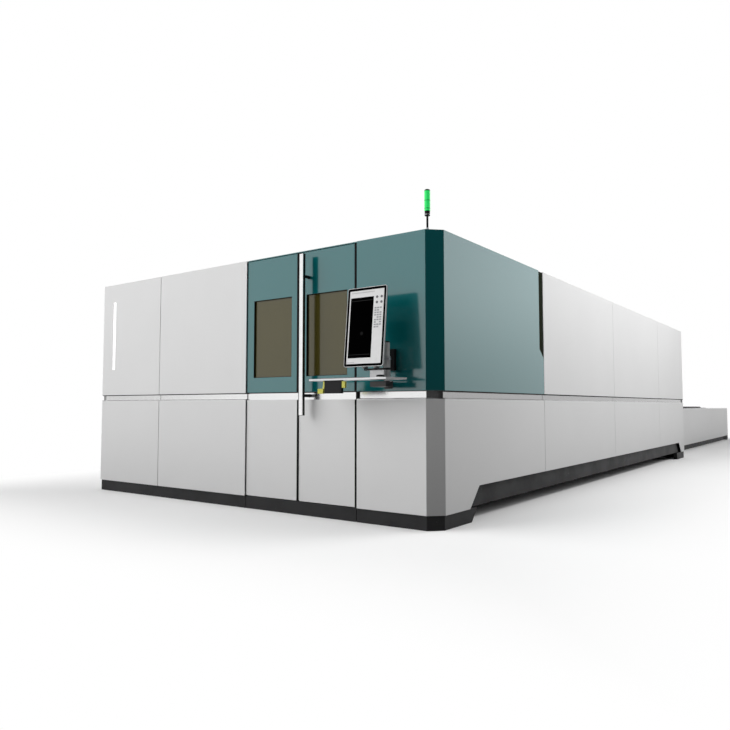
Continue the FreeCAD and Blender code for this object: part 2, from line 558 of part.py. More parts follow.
# hand unit hung under the tray
HBX0, HBX1 = at_t(762.0), at_t(590.0)
HBY0, HBY1 = -286.0, -260.0
export("hand_unit", joined([box(HBX0, HBX1, HBY0, HBY1, 1037.0, TRAY_Z0)]))
export("hand_unit_trim", [
    box(HBX0 - 14, HBX0, HBY0 + 2, HBY1 - 2, 1075.0, TRAY_Z0),
    box(HBX1, HBX1 + 32, HBY0 + 2, HBY1 - 2, 1079.0, 1131.0),
    box(HBX0 - 72.0, HBX0 - 14, HBY0 + 2, HBY1 - 2, 1036.0, 1075.0),
])

# ---- tower light ------------------------------------------------------------------------------
TW_X, TW_Y = XA - 14.0, 60.0
LAMP_Z0, LAMP_Z1 = HEIGHT + 156.0, HEIGHT + 314.0
export("tower_pole", joined([
    turned([(20, 0), (20, 8)], (TW_X, TW_Y, HEIGHT)),
    turned([(8.5, 0), (8.5, 118)], (TW_X, TW_Y, HEIGHT), "z", 12),
    turned([(21, 0), (21, 38)], (TW_X, TW_Y, LAMP_Z0 - 38)),
]))
export("tower_lamp", turned([(23, 0), (23, LAMP_Z1 - LAMP_Z0)], (TW_X, TW_Y, LAMP_Z0), "z", 32))
export("tower_cap", turned([(23, 0), (23, 5), (20, 10), (13, 14)], (TW_X, TW_Y, LAMP_Z1), "z", 24))

# ---- bed --------------------------------------------------------------------------------------
FOOT_A, FOOT_B = BED_Y0 + 150.0, BED_Y1 - 260.0
feet_y = [FOOT_A + k * (FOOT_B - FOOT_A) / 5 for k in range(6)]
GIRDER_T, FLANGE_T = 12.0, 16.0
girder = [
    box(BED_X0, BED_X1, BED_Y0, BED_Y1, BED_Z1 - FLANGE_T, BED_Z1),
    box(BED_X0, BED_X1, BED_Y0, BED_Y1, BED_Z0, BED_Z0 + FLANGE_T),
]
window = []
for y in feet_y[:-1]:
    ym = y + (feet_y[1] - feet_y[0]) / 2
    window.append(prism_x([(ym - 330, 700), (ym - 260, 630), (ym + 260, 630), (ym + 330, 700),
                           (ym + 330, 830), (ym + 260, 900), (ym - 260, 900), (ym - 330, 830)],
                          BED_X1 - 50, BED_X1 + 50))
girder.append(box(BED_X0, BED_X0 + GIRDER_T, BED_Y0, BED_Y1, BED_Z0 + FLANGE_T, BED_Z1 - FLANGE_T))
outer_web = box(BED_X1 - GIRDER_T, BED_X1, BED_Y0, BED_Y1, BED_Z0 + FLANGE_T, BED_Z1 - FLANGE_T)
for w in window:
    outer_web = outer_web.cut(w)
girder.append(outer_web)
for y in [BED_Y0 + 8] + [f + 8 for f in feet_y] + [BED_Y1]:
    girder.append(box(BED_X0 + GIRDER_T, BED_X1 - GIRDER_T, y - 8, y, BED_Z0 + FLANGE_T,
                      BED_Z1 - FLANGE_T))
bed_feet = [box(BED_X0 + 30, BED_X1 - 30, y - 110, y + 110, 0, BED_Z0) for y in feet_y]
bed = [t for g in girder + bed_feet for t in both(g)]
bed += [tube(-BED_X0, BED_X0, y - 70, y + 70, BED_Z0, BED_Z0 + 70, "x", 8.0) for y in feet_y]
for y in SIDE_Y:
    bed += both(tube(BED_X1, back_x - TUBE, y - 30, y + 30, 480.0, 560.0, "x"))
export("bed", bed)

# wheel ledges for both levels, from the bed to the end of the table
LOW_RAIL = LOW_Z + AXLE_DZ - WHEEL_R
UP_RAIL = UP_Z + AXLE_DZ - WHEEL_R
ledges = []


def ledge(y0, y1, z):
    """A channel laid on its flanges, its web on top for the wheels."""
    return box(RAIL_X0, RAIL_X1, y0, y1, z - LEDGE_T, z).cut(
        box(RAIL_X0 + 10, RAIL_X1 - 12, y0 - 1, y1 + 1, z - LEDGE_T - 1, z - 12))


for z in (LOW_RAIL, UP_RAIL):
    ledges += both(ledge(PAL_IN_Y - 100, BED_Y1, z))

guide = [box(x - 22, x + 22, BED_Y0 + 30, BED_Y1 - 20, BED_Z1, BED_Z1 + GUIDE_H)
         for x in (GUIDE_X, -GUIDE_X)]
rack = [box(x - 12, x + 12, BED_Y0 + 30, BED_Y1 - 20, BED_Z1, BED_Z1 + 26) for x in (RACK_X, -RACK_X)]
export("bed_guides", guide + rack)

# scrap belt between the girders: a loop round two drums, in side channels on legs
BELT_HW = RAIL_X0 - 280.0
BELT_Y0, BELT_Y1 = PAL_IN_Y - 50.0, LENGTH - 530.0
BELT_Z0, BELT_Z1, BELT_T = 150.0, 250.0, 8.0
loop = box(-BELT_HW, BELT_HW, BELT_Y0, BELT_Y1, BELT_Z0, BELT_Z1)
loop = loop.makeFillet(49.0, [e for e in loop.Edges if abs(e.tangentAt(e.FirstParameter).x) > 0.9])
hollow = box(-BELT_HW - 1, BELT_HW + 1, BELT_Y0 + BELT_T, BELT_Y1 - BELT_T, BELT_Z0 + BELT_T,
             BELT_Z1 - BELT_T)
hollow = hollow.makeFillet(
    41.0, [e for e in hollow.Edges if abs(e.tangentAt(e.FirstParameter).x) > 0.9])
belt_mid = (BELT_Z0 + BELT_Z1) / 2
drums = [turned([(42.4, 0), (42.4, 2 * BELT_HW)], (-BELT_HW, y, belt_mid), "x")
         for y in (BELT_Y0 + 50, BELT_Y1 - 50)]
belt = [joined([loop.cut(hollow)] + drums)]
belt += both(box(BELT_HW, BELT_HW + 10, BELT_Y0 + 20, BELT_Y1 - 20, BELT_Z0 + 6, BELT_Z1 - 6))
belt_ys = [BELT_Y0 + 500, (BELT_Y0 + BELT_Y1) / 2, BELT_Y1 - 500]
for y in belt_ys:
    belt += both(box(BELT_HW + 10, BELT_HW + 60, y - 60, y + 60, 0, BELT_Z1 - 20))
for y in feet_y[1:5]:
    belt += both(box(BELT_HW + 10, BELT_HW + 60, y - 40, y + 40, BELT_Z1 - 50, BED_Z0))
    belt += both(box(BELT_HW, BELT_HW + 10, y - 40, y + 40, BELT_Z1 - 6, BED_Z0))
export("scrap_belt", belt)

# ---- gantry -----------------------------------------------------------------------------------
FOOT_Z0 = BED_Z1 + GUIDE_H + 1.0
foot_g = joined([
    prism_x([(BEAM_Y0 - 130, FOOT_Z0 + 20), (BEAM_Y1 + 90, FOOT_Z0 + 20), (BEAM_Y1 + 90, FOOT_Z0 + 45),
             (BEAM_Y1, BEAM_Z0), (BEAM_Y0 + 40, BEAM_Z0), (BEAM_Y0 - 130, FOOT_Z0 + 45)],
            BED_X0 + 40, BEAM_HX),
    box(GUIDE_X - 45, GUIDE_X + 45, BEAM_Y0 - 110, BEAM_Y0 + 10, FOOT_Z0 - 20, FOOT_Z0 + 20),
    box(GUIDE_X - 45, GUIDE_X + 45, BEAM_Y1 - 40, BEAM_Y1 + 70, FOOT_Z0 - 20, FOOT_Z0 + 20),
]).cut(box(GUIDE_X - 23, GUIDE_X + 23, 0, LENGTH, 0, BED_Z1 + GUIDE_H + 0.5))
# the beam is welded from plates, with its two front edges cut at 45 degrees
w, c = BEAM_WALL, 40.0
bx = BEAM_HX - 10.0
y0, y1, z0, z1 = BEAM_Y0, BEAM_Y1, BEAM_Z0, BEAM_Z1
beam = [
    box(-bx, bx, y1 - w, y1, z0, z1),
    box(-bx, bx, y0, y0 + w, z0 + c, z1 - c),
    box(-bx, bx, y0 + c, y1 - w, z1 - w, z1),
    box(-bx, bx, y0 + c, y1 - w, z0, z0 + w),
    prism_x([(y0, z1 - c), (y0 + c, z1), (y0 + c, z1 - w), (y0 + w, z1 - c)], -bx, bx),
    prism_x([(y0, z0 + c), (y0 + c, z0), (y0 + c, z0 + w), (y0 + w, z0 + c)], -bx, bx),
]
outline = [(y0, z0 + c), (y0 + c, z0), (y1, z0), (y1, z1), (y0 + c, z1), (y0, z1 - c)]
beam += both(prism_x(outline, bx, BEAM_HX))
export("gantry_beam", beam + both(foot_g))
motors = []
for s in (1, -1):
    m = joined([
        box(BEAM_HX, BEAM_HX + 110, BEAM_Y0 + 60, BEAM_Y0 + 200, BEAM_Z0 - 60, BEAM_Z0 + 90),
        turned([(55, 0), (55, 150)], (BEAM_HX + 56, BEAM_Y0 + 130, BEAM_Z0 + 90), "z", 24),
    ])
    motors.append(m if s > 0 else mirror_x(m))
export("gantry_motors", motors)
export("gantry_guides", [
    box(-BED_X0, BED_X0, BEAM_Y1, BEAM_Y1 + 26, BEAM_Z0 + 40, BEAM_Z0 + 74),
    box(-BED_X0, BED_X0, BEAM_Y1, BEAM_Y1 + 26, BEAM_Z1 - 90, BEAM_Z1 - 56),
])

CY0 = BEAM_Y1 + 26.3                # the carriage runs just off the guides
carriage = joined([
    box(CARR_X - 165, CARR_X + 165, CY0 + 10, CY0 + 44, BEAM_Z0 - 20, BEAM_Z1 + 90),
    box(CARR_X - 150, CARR_X + 150, CY0, CY0 + 10, BEAM_Z0 + 20, BEAM_Z0 + 94),
    box(CARR_X - 150, CARR_X + 150, CY0, CY0 + 10, BEAM_Z1 - 110, BEAM_Z1 - 36),
    box(CARR_X - 165, CARR_X + 165, BEAM_Y0 + 90, CY0 + 44, BEAM_Z1 + 30, BEAM_Z1 + 90),
    turned([(55, 0), (55, 170)], (CARR_X - 70, BEAM_Y0 + 160, BEAM_Z1 + 90), "z", 24),
])
export("cross_carriage", carriage)
SZ0 = CY0 + 44.3
slide = joined([
    box(CARR_X - 100, CARR_X + 100, SZ0, SZ0 + 26, BEAM_Z0 - 10, BEAM_Z1 + 150),
    box(CARR_X - 85, CARR_X + 85, SZ0 + 26, SZ0 + 110, BEAM_Z0 + 10, BEAM_Z1 + 60),
])
export("head_slide", slide)
hy = SZ0 + 80.0
HEAD_Z1 = BEAM_Z0 + 10.0
export("cutting_head", joined([
    box(CARR_X - 58, CARR_X + 58, SZ0 + 26, hy + 58, NOZZLE_Z + 150, HEAD_Z1),
    turned([(30, 0), (52, 50), (52, 76)], (CARR_X, hy, NOZZLE_Z + 74), "z", 24),
]))
export("nozzle", joined([
    turned([(3.5, 0), (17, 40)], (CARR_X, hy, NOZZLE_Z)),
    turned([(26, 0), (26, 34)], (CARR_X, hy, NOZZLE_Z + 40)),
]))


# ---- pallets ----------------------------------------------------------------------------------
def pallet(y0, z0):
    hw = PAL_W / 2
    y1 = y0 + PAL_L
    parts = both(box(hw - 80, hw, y0, y1, z0, z0 + 100))
    parts += [box(-hw + 80, hw - 80, y, y + 80, z0, z0 + 100) for y in (y0, y1 - 80)]
    parts += [box(-hw + 80, hw - 80, y0 + k * PAL_L / 4 - 30, y0 + k * PAL_L / 4 + 30, z0, z0 + 50)
              for k in (1, 2, 3)]
    parts += both(box(hw - 110, hw - 80, y0 + 80, y1 - 80, z0 + 38, z0 + SLAT_Z))
    for k in range(4):
        y = y0 + 300 + k * (PAL_L - 600) / 3
        parts += both(turned([(WHEEL_R / cos(pi / 16), 0), (WHEEL_R / cos(pi / 16), WHEEL_W)],
                             (hw + 16, y, z0 + AXLE_DZ), "x", 16))
        parts += both(box(hw - 4, hw + 18, y - 14, y + 14, z0 + 4, z0 + 32))
    frame = joined(parts)
    slats = []
    n = int((PAL_L - 240) / SLAT_PITCH)
    first = y0 + (PAL_L - (n - 1) * SLAT_PITCH) / 2
    w = hw - 80 - SLAT_END
    tooth = 2 * w / TEETH
    for k in range(n):
        pts = [(-w, z0 + SLAT_Z), (w, z0 + SLAT_Z)]
        for j in range(TEETH):
            xr = w - j * tooth
            pts += [(xr, z0 + 105), (xr - tooth / 2, z0 + 20 + SLAT_H)]
        pts += [(-w, z0 + 105)]
        y = first + k * SLAT_PITCH
        slats.append(prism_y(pts, y - SLAT_T / 2, y + SLAT_T / 2))
    return frame, slats


for name, y, z in (("lower", PAL_IN_Y, LOW_Z), ("upper", PAL_OUT_Y, UP_Z)):
    frame, slats = pallet(y, z)
    export("pallet_" + name + "_frame", frame)
    export("pallet_" + name + "_slats", slats)

# ---- exchange table ---------------------------------------------------------------------------
t_in = TAB_HW - 6.0
POST_T = 60.0
TAB_Y1 = TABLE_END - 60.0
rail_z = TAB_TOP - 8 - POST_T
table = both(tube(RAIL_X1, RAIL_X1 + POST_T, TAB_Y0, TAB_Y1, rail_z, rail_z + POST_T, "y", 4.0))
table += both(tube(RAIL_X1 + POST_T, RAIL_X1 + 2 * POST_T, TAB_Y0, TAB_Y1, TAB_PL, TAB_PL + 100,
                   "y", 4.0))
n_post = 6
for k in range(n_post):
    y = TAB_Y0 + 40 + k * (TAB_Y1 - TAB_Y0 - 120) / (n_post - 1)
    table += both(tube(RAIL_X1, RAIL_X1 + POST_T, y - 40, y + 40, 0, rail_z, "z", 4.0))
    table += both(box(RAIL_X1 + POST_T, t_in, y - 30, y + 30, rail_z, rail_z + POST_T))
    table += both(box(RAIL_X1 + 2 * POST_T, t_in, y - 30, y + 30, TAB_PL, TAB_PL + POST_T))
    table.append(tube(-RAIL_X1, RAIL_X1, y - 30, y + 30, TAB_PL, TAB_PL + POST_T, "x", 4.0))
export("table_frame", table)
for z in (LOW_RAIL, UP_RAIL):
    ledges += both(ledge(BED_Y1 + 0.3, TABLE_END - 120, z))
export("wheel_ledges", ledges)
bays = [TAB_Y0 + k * (TABLE_END - TAB_Y0) / 3 for k in range(4)]
skins = []
for i in range(3):
    a = bays[i] + (SEAM / 2 if i else 0)
    b = bays[i + 1] - (SEAM / 2 if i < 2 else 6)
    skins += both(box(t_in, TAB_HW, a, b, TAB_PL, TAB_TOP))
end_skin = box(-TAB_HW, TAB_HW, TABLE_END - 6, TABLE_END, TAB_PL, TAB_TOP)
tops = both(box(RAIL_X1 - 20, t_in, TAB_Y0, TABLE_END - 6, TAB_TOP - 8, TAB_TOP))
tops.append(box(-RAIL_X1 + 20, RAIL_X1 - 20, TABLE_END - 120, TABLE_END - 6, TAB_TOP - 8, TAB_TOP))
stops = both(box(RAIL_X0 + 20, RAIL_X1 - 40, TABLE_END - 560, TABLE_END - 400, UP_RAIL, TAB_TOP - 8.0))
export("table_stops", stops)
kick = both(box(TAB_HW - 66, TAB_HW - 60, TAB_Y0, TABLE_END - 80, 6, TAB_PL))
export("table_plinth", kick)
end_feet = both(box(TAB_HW - 130, TAB_HW, TABLE_END - 75, TABLE_END, 0, TAB_PL))
export("table_skins", skins + [end_skin] + tops + end_feet)
print("done")
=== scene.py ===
"""Looks of the enclosed sheet cutting machine: finishes, fittings, light and camera.

Metres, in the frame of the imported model: -Y is the operator's front, +X the long side on the
operator's right, +Y runs out along the exchange table, and the floor is z = 0.
"""
import json
import math

import bmesh
import bpy
from mathutils import Matrix, Vector


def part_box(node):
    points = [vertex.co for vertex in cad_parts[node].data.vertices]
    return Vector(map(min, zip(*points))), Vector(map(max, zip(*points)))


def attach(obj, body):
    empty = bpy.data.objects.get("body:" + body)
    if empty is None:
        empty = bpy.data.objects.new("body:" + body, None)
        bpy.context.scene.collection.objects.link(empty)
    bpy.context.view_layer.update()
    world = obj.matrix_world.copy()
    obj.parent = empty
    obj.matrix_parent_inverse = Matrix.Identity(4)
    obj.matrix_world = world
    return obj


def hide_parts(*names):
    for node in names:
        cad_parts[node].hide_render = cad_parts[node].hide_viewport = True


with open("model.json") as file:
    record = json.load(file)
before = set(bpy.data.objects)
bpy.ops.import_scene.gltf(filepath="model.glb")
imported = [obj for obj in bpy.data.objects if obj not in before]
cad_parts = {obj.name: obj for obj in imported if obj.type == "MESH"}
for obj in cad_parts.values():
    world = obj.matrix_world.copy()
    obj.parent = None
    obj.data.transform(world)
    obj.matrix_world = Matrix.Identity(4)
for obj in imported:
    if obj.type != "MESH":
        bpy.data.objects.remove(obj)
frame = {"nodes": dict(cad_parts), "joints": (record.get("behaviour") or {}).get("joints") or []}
NODE = frame["nodes"]
HINGE = {joint["name"]: joint.get("pos_m") for joint in frame["joints"]}
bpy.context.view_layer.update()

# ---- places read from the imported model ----
FRONT_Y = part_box("skin_upper_front")[0][1]
REAR_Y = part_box("skin_rear")[1][1]
SIDE_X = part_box("skin_upper_right")[1][0]
ROOF_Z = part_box("roof")[1][2]
BAND_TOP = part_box("skin_upper_right")[0][2]
BAND_LOW = BAND_TOP - 0.06
BAND_MIDDLE = (BAND_TOP + BAND_LOW) / 2
CORNER_X = SIDE_X - 0.105           # where the front skin meets the cut corner
TABLE_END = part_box("table_skins")[1][1]
TABLE_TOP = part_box("table_skins")[1][2]
LAMP_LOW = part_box("tower_lamp")[0][2]
LAMP_JOINTS = (LAMP_LOW + 0.019, LAMP_LOW + 0.082)


# ---- node trees ----
def binary(operation):
    def apply(self, other):
        return self.math(operation, self, other)
    return apply


class Val:
    """A socket of a node tree. Arithmetic on it adds Math nodes."""

    def __init__(self, graph, socket):
        self.graph, self.socket = graph, socket

    def math(self, operation, *terms):
        return self.graph.node("Math", dict(enumerate(terms)), operation=operation)["Value"]

    __add__ = __radd__ = binary("ADD")
    __sub__ = binary("SUBTRACT")
    __mul__ = __rmul__ = binary("MULTIPLY")
    __truediv__ = binary("DIVIDE")
    most = binary("MAXIMUM")

    def __rsub__(self, other):
        return self.math("SUBTRACT", other, self)

    def size(self):
        return self.math("ABSOLUTE", self)

    def clip(self):
        return self.math("MINIMUM", self.most(0.0), 1.0)

    def wave(self, length):
        """0 to 1 and back, once in each length."""
        return self.math("PINGPONG", self / length, 0.5) * 2.0

    def step(self, low, high):
        """0 below low and 1 above high, eased between; high may be the smaller."""
        sockets = {"Value": self, "From Min": low, "From Max": high}
        return self.graph.node("MapRange", sockets, interpolation_type="SMOOTHSTEP")["Result"]


class Made:
    """A new node, whose outputs are read by name or number."""

    def __init__(self, graph, node):
        self.graph, self.it = graph, node

    def __getitem__(self, key):
        return Val(self.graph, self.it.outputs[key])


class Graph:
    """A shader or geometry tree that is written as expressions."""
    family = "ShaderNode"

    def __init__(self, tree):
        self.tree = tree

    def node(self, kind, sockets=None, **settings):
        made = self.tree.nodes.new(self.family + kind)
        for key, value in settings.items():
            setattr(made, key, value)
        for key, value in (sockets or {}).items():
            if isinstance(value, Val):
                self.tree.links.new(value.socket, made.inputs[key])
            else:
                made.inputs[key].default_value = value
        return Made(self, made)


def scaled(colour, by):
    return tuple(c * by for c in colour)


def grey(level):
    return (level, level, level)


class Finish(Graph):
    """One material. Patterns are in metres, on the piece's own coordinates."""

    def __init__(self, name):
        self.mat = bpy.data.materials.new(name)
        self.mat.use_nodes = True
        super().__init__(self.mat.node_tree)
        self.tree.nodes.clear()
        self.place = self.node("TexCoord")["Object"]
        axes = self.node("SeparateXYZ", {0: self.place})
        self.x, self.y, self.z = axes["X"], axes["Y"], axes["Z"]

    def grain(self, size, detail=2.0, stretch=None, rough=0.5):
        """Noise from 0 to 1, with spots about size metres wide, stretched on request."""
        spot = self.place
        if stretch:
            spot = self.node("Mapping", {"Vector": spot, "Scale": stretch})["Vector"]
        return self.node("TexNoise", {
            "Vector": spot, "Scale": 1.0 / size, "Detail": detail, "Roughness": rough})["Fac"]

    def cells(self, size):
        return self.node("TexVoronoi", {
            "Vector": self.place, "Scale": 1.0 / size})["Distance"]

    def mix(self, a, b, share):
        """Colour a, turning to colour b where share is 1."""
        a, b = [c if isinstance(c, Val) else (*c, 1.0) for c in (a, b)]
        return self.node("Mix", {0: share, 6: a, 7: b}, data_type="RGBA")[2]

    def shades(self, colour, low, high, share):
        """A colour times low, turning to the same times high where share is 1."""
        return self.mix(scaled(colour, low), scaled(colour, high), share)

    def off_panel(self, y0, y1, z0, z1):
        """How far a point of a long side lies outside a rectangle there; less than 0 inside."""
        along = (self.y - (y0 + y1) / 2).size() - (y1 - y0) / 2
        return along.most((self.z - (z0 + z1) / 2).size() - (z1 - z0) / 2)

    def spot(self, y, z, radius):
        """1 inside a round spot on a long side."""
        dy, dz = self.y - y, self.z - z
        return (dy * dy + dz * dz).step(radius * radius * 1.2, radius * radius * 0.9)

    def bump(self, height, depth, strength):
        """The surface raised by height times depth metres."""
        return self.node("Bump", {
            "Height": height, "Distance": depth, "Strength": strength})["Normal"]

    def surface(self, colour, rough, **more):
        """Ends the tree in a Principled shader and gives the material."""
        sockets = {"Base Color": colour if isinstance(colour, Val) else (*colour, 1.0),
                   "Roughness": rough}
        sockets.update({key.replace("_", " "): value for key, value in more.items()})
        shader = self.node("BsdfPrincipled", sockets)["BSDF"]
        self.node("OutputMaterial", {"Surface": shader})
        return self.mat


# ---- finishes ----
def powder_coat(name, colour, rough, dust_and_floor_shade=0.04, strip=False, doors=(), vents=()):
    """Sprayed sheet: soft clouding, orange peel, painted shade with a little dirt near the floor.

    With strip, the sheet is polished metal in the waist band, with a painted shadow line under the
    upper skin and painted shade and reflection where the band turns the corner. Flush doors and
    slotted vents are given by their limits along y and z.
    """
    f = Finish(name)
    cloud = f.grain(1.1, 3.0)
    # patchy darkening towards the floor: painted shade, with a little dirt
    low = f.z.step(0.75, 0.05) * (f.grain(0.35, 4.0) * 0.5 + 0.5)
    tint = f.shades(colour, 0.975, 1.0, cloud.step(0.3, 0.7))
    tint = f.mix(tint, scaled(colour, 1.0 - 2.2 * dust_and_floor_shade), low)
    gloss = rough + (f.grain(0.06, 3.0) - 0.5) * 0.1
    metal = 0.0
    if strip:
        metal = (f.z - BAND_MIDDLE).size().step(0.0347, 0.0343)
        drawn = f.grain(0.0015, 2.0, (0.02, 0.02, 1.0))
        bright = f.mix(grey(0.8), grey(0.93), drawn)
        # painted shade and dark reflection: the polished band turns dark grey where it rounds the
        # cut corner and along the long sides
        bright = f.mix(bright, grey(0.36), f.x.size().step(SIDE_X - 0.06, SIDE_X - 0.03))
        tint = f.mix(tint, bright, metal)
        gloss = gloss + (0.16 + drawn * 0.08 - gloss) * metal
        # painted shadow line: a near-black strip at the band's top, just under the upper skin
        painted_shadow_line = (f.z - BAND_TOP + 0.0005).size().step(0.0052, 0.0042)
        tint = f.mix(tint, (0.004, 0.012, 0.013), painted_shadow_line)
        metal = metal * (1.0 - painted_shadow_line)
    relief, depth, strength = f.grain(0.0035, 1.0), 0.00012, 0.25
    if doors or vents:
        cut = 0.0
        for y0, y1, z0, z1 in doors:
            cut = cut + f.off_panel(y0, y1, z0, z1).size().step(0.003, 0.0018)
            lock = y1 - 0.045
            for z in (z0 + 0.1, z1 - 0.1):
                cut = cut + f.spot(lock, z, 0.016) * (0.35 + f.spot(lock, z, 0.005) * 0.6)
        for y0, y1, z0, z1 in vents:
            inside = f.off_panel(y0, y1, z0, z1).step(0.0, -0.0015)
            cut = cut + inside * f.z.wave(0.028).step(0.5, 0.7)
        tint = f.mix(tint, (0.016, 0.016, 0.017), cut)
        relief, depth, strength = relief * 0.04 + (1.0 - cut), 0.003, 0.8
    return f.surface(tint, gloss, Metallic=metal, Normal=f.bump(relief, depth, strength))


def gloss_teal(name, colour):
    """Deep teal with fine flake under a thick clear coat, with painted shade on the cut corner."""
    f = Finish(name)
    flake = f.grain(0.0016, 1.0)
    tint = f.shades(colour, 0.94, 1.05, f.grain(0.8, 3.0))
    tint = f.mix(tint, scaled(colour, 1.25), flake.step(0.62, 0.8) * 0.35)
    # painted shade: the teal of the cut corner is darkened
    corner_painted_shade = (f.x.step(CORNER_X - 0.002, CORNER_X + 0.002)
                  * f.y.step(FRONT_Y + 0.107, FRONT_Y + 0.103))
    tint = f.mix(tint, scaled(colour, 0.66), corner_painted_shade)
    return f.surface(
        tint, 0.28 + f.grain(0.25, 4.0) * 0.06, Metallic=0.04, Specular_IOR_Level=0.0,
        Coat_Weight=1.0, Coat_Roughness=0.12, Coat_IOR=1.98,
        Normal=f.bump(f.grain(0.012, 2.0), 0.00005, 0.3))


def brushed(name, colour, rough, along):
    """Metal brushed along one axis, with finger marks."""
    f = Finish(name)
    stretch = [1.0, 1.0, 1.0]
    stretch["xyz".index(along)] = 0.02
    line = f.grain(0.0012, 2.0, stretch)
    smear = f.grain(0.05, 3.0).step(0.45, 0.75)
    return f.surface(
        f.shades(colour, 0.82, 1.05, line), rough + line * 0.12 + smear * 0.06, Metallic=1.0,
        Normal=f.bump(line, 0.00003, 0.5))


def worn_paint(name, colour, rough, bare=(0.3, 0.29, 0.28), chips=0.66, **more):
    """Workshop paint, chipped to bare steel here and there, oily in places."""
    f = Finish(name)
    bare_rough = 0.42
    chip = (f.grain(0.045, 6.0, rough=0.65) + f.grain(0.008, 2.0) * 0.18).step(chips, chips + 0.05)
    grime = f.grain(0.3, 5.0, rough=0.6).step(0.35, 0.75)
    tint = f.mix(f.shades(colour, 1.0, 0.62, grime * 0.55), bare, chip)
    height = 1.0 - chip + f.grain(0.0045, 1.0) * 0.25
    return f.surface(
        tint, rough + grime * 0.12 - chip * (rough - bare_rough), Metallic=chip * 0.9,
        Normal=f.bump(height, 0.00018, 0.6), **more)


def mill_steel(name, colour, rough, rust=0.55, burnt=None):
    """Bare plate: scale, streaks, light rust, spatter; burnt dark above a height."""
    f = Finish(name)
    scale = f.grain(0.09, 6.0, rough=0.62)
    red = f.grain(0.035, 5.0, rough=0.7).step(rust, rust + 0.14)
    spatter = f.cells(0.009).step(0.26, 0.18) * f.grain(0.05, 2.0).step(0.45, 0.6)
    tint = f.mix(f.shades(colour, 0.6, 1.25, scale), (0.17, 0.072, 0.03), red * 0.7)
    tint = f.mix(tint, (0.055, 0.05, 0.048), spatter)
    if burnt:
        scorch = (f.z + (f.grain(0.02, 3.0) - 0.5) * 0.03).step(burnt, burnt + 0.025)
        tint = f.mix(tint, (0.052, 0.046, 0.05), scorch * 0.75)
    return f.surface(
        tint, rough + red * 0.25 + scale * 0.1, Metallic=(1.0 - red * 0.8) * 0.85,
        Normal=f.bump(scale * 0.3 + spatter, 0.0008, 0.7))


def cast_grey(name, colour, rough):
    """Machined or cast light metal with a fine even texture."""
    f = Finish(name)
    fine = f.grain(0.0022, 2.0)
    return f.surface(
        f.shades(colour, 0.88, 1.05, f.grain(0.12, 4.0)), rough + (fine - 0.5) * 0.16,
        Metallic=0.9, Normal=f.bump(fine, 0.00006, 0.6))


def moulded(name, colour, rough, texture=0.0011, depth=0.00005, **more):
    """Moulded plastic with a fine spark-eroded texture."""
    f = Finish(name)
    return f.surface(
        f.shades(colour, 0.93, 1.05, f.grain(0.03, 3.0)), rough + f.grain(0.01, 2.0) * 0.06,
        Normal=f.bump(f.cells(texture), depth, 0.5), **more)


def amber_glass(name, colour, ior, rough=0.12):
    """Laser-safe tinted sheet: dark amber, glossy, a little see-through."""
    f = Finish(name)
    smear = f.grain(0.09, 4.0, (1.0, 1.0, 0.35)).step(0.5, 0.8)
    return f.surface(
        f.shades(colour, 0.9, 1.12, f.grain(0.5, 3.0)), rough + smear * 0.05, Alpha=0.93,
        IOR=ior, Normal=f.bump(f.grain(0.6, 1.0), 0.0004, 0.25))


def lit_lens(name, colour, strength, ribs=0.0, joints=()):
    """Translucent lens with a lamp behind it, darker where its segments join."""
    f = Finish(name)
    glow = f.grain(0.02, 2.0) * 0.15 + 0.85
    shade = glow
    normal = f.bump(f.grain(0.003, 1.0), 0.00005, 0.4)
    if ribs:
        line = f.z.wave(ribs)
        shade = glow * (0.72 + line * 0.28)
        normal = f.bump(line, 0.0006, 0.8)
    for height in joints:
        shade = shade * (1.0 - (f.z - height).size().step(0.005, 0.003) * 0.8)
    return f.surface(
        scaled(colour, 0.8), 0.25 + glow * 0.05, Emission_Strength=strength,
        Emission_Color=f.shades(colour, 0.35, 1.0, shade), Normal=normal)


def zones(name, lower, upper, level, along="z", rough=(0.34, 0.42), metal=(0.35, 0.0), then=None):
    """Two finishes on one piece, changing over at a level; then a third colour, higher up."""
    f = Finish(name)
    top = {"y": f.y, "z": f.z}[along].step(level, level + 0.001)
    fine = f.grain(0.002, 2.0)
    tint = f.mix(lower, upper, top)
    if then:
        height, third = then
        tint = f.mix(tint, third, f.z.step(height, height + 0.001))
    tint = f.mix(tint, grey(0.0), f.grain(0.05, 4.0) * 0.14)
    return f.surface(
        tint, rough[0] + top * (rough[1] - rough[0]) + (fine - 0.5) * 0.08,
        Metallic=metal[0] + top * (metal[1] - metal[0]), Specular_IOR_Level=0.2,
        Normal=f.bump(fine, 0.00005, 0.5))


def screen_glass():
    """Black panel with the thin frame lines and the small round mark of an idle page."""
    f = Finish("screen_glass")
    (x0, _, z0), (x1, _, z1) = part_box("screen_display")
    middle, wide, high = (x0 + x1) / 2, x1 - x0, z1 - z0
    side = (f.x - middle).size().step(wide * 0.47, wide * 0.465)
    line = sum((f.z - (z0 + high * share)).size().step(0.0022, 0.0012) for share in (0.055, 0.945))
    dx, dz = f.x - (middle + 0.012), f.z - (z0 + high * 0.4)
    mark = (dx * dx + dz * dz).step(0.00035, 0.00002)
    glow = line * side * 0.05 + mark * 0.018
    return f.surface(
        f.mix(grey(0.0005), grey(0.001), f.grain(0.2)),
        0.34 + f.grain(0.05, 3.0).step(0.5, 0.8) * 0.06, Specular_IOR_Level=0.0,
        Emission_Color=f.mix(grey(0.0), grey(1.0), glow), Emission_Strength=0.6)


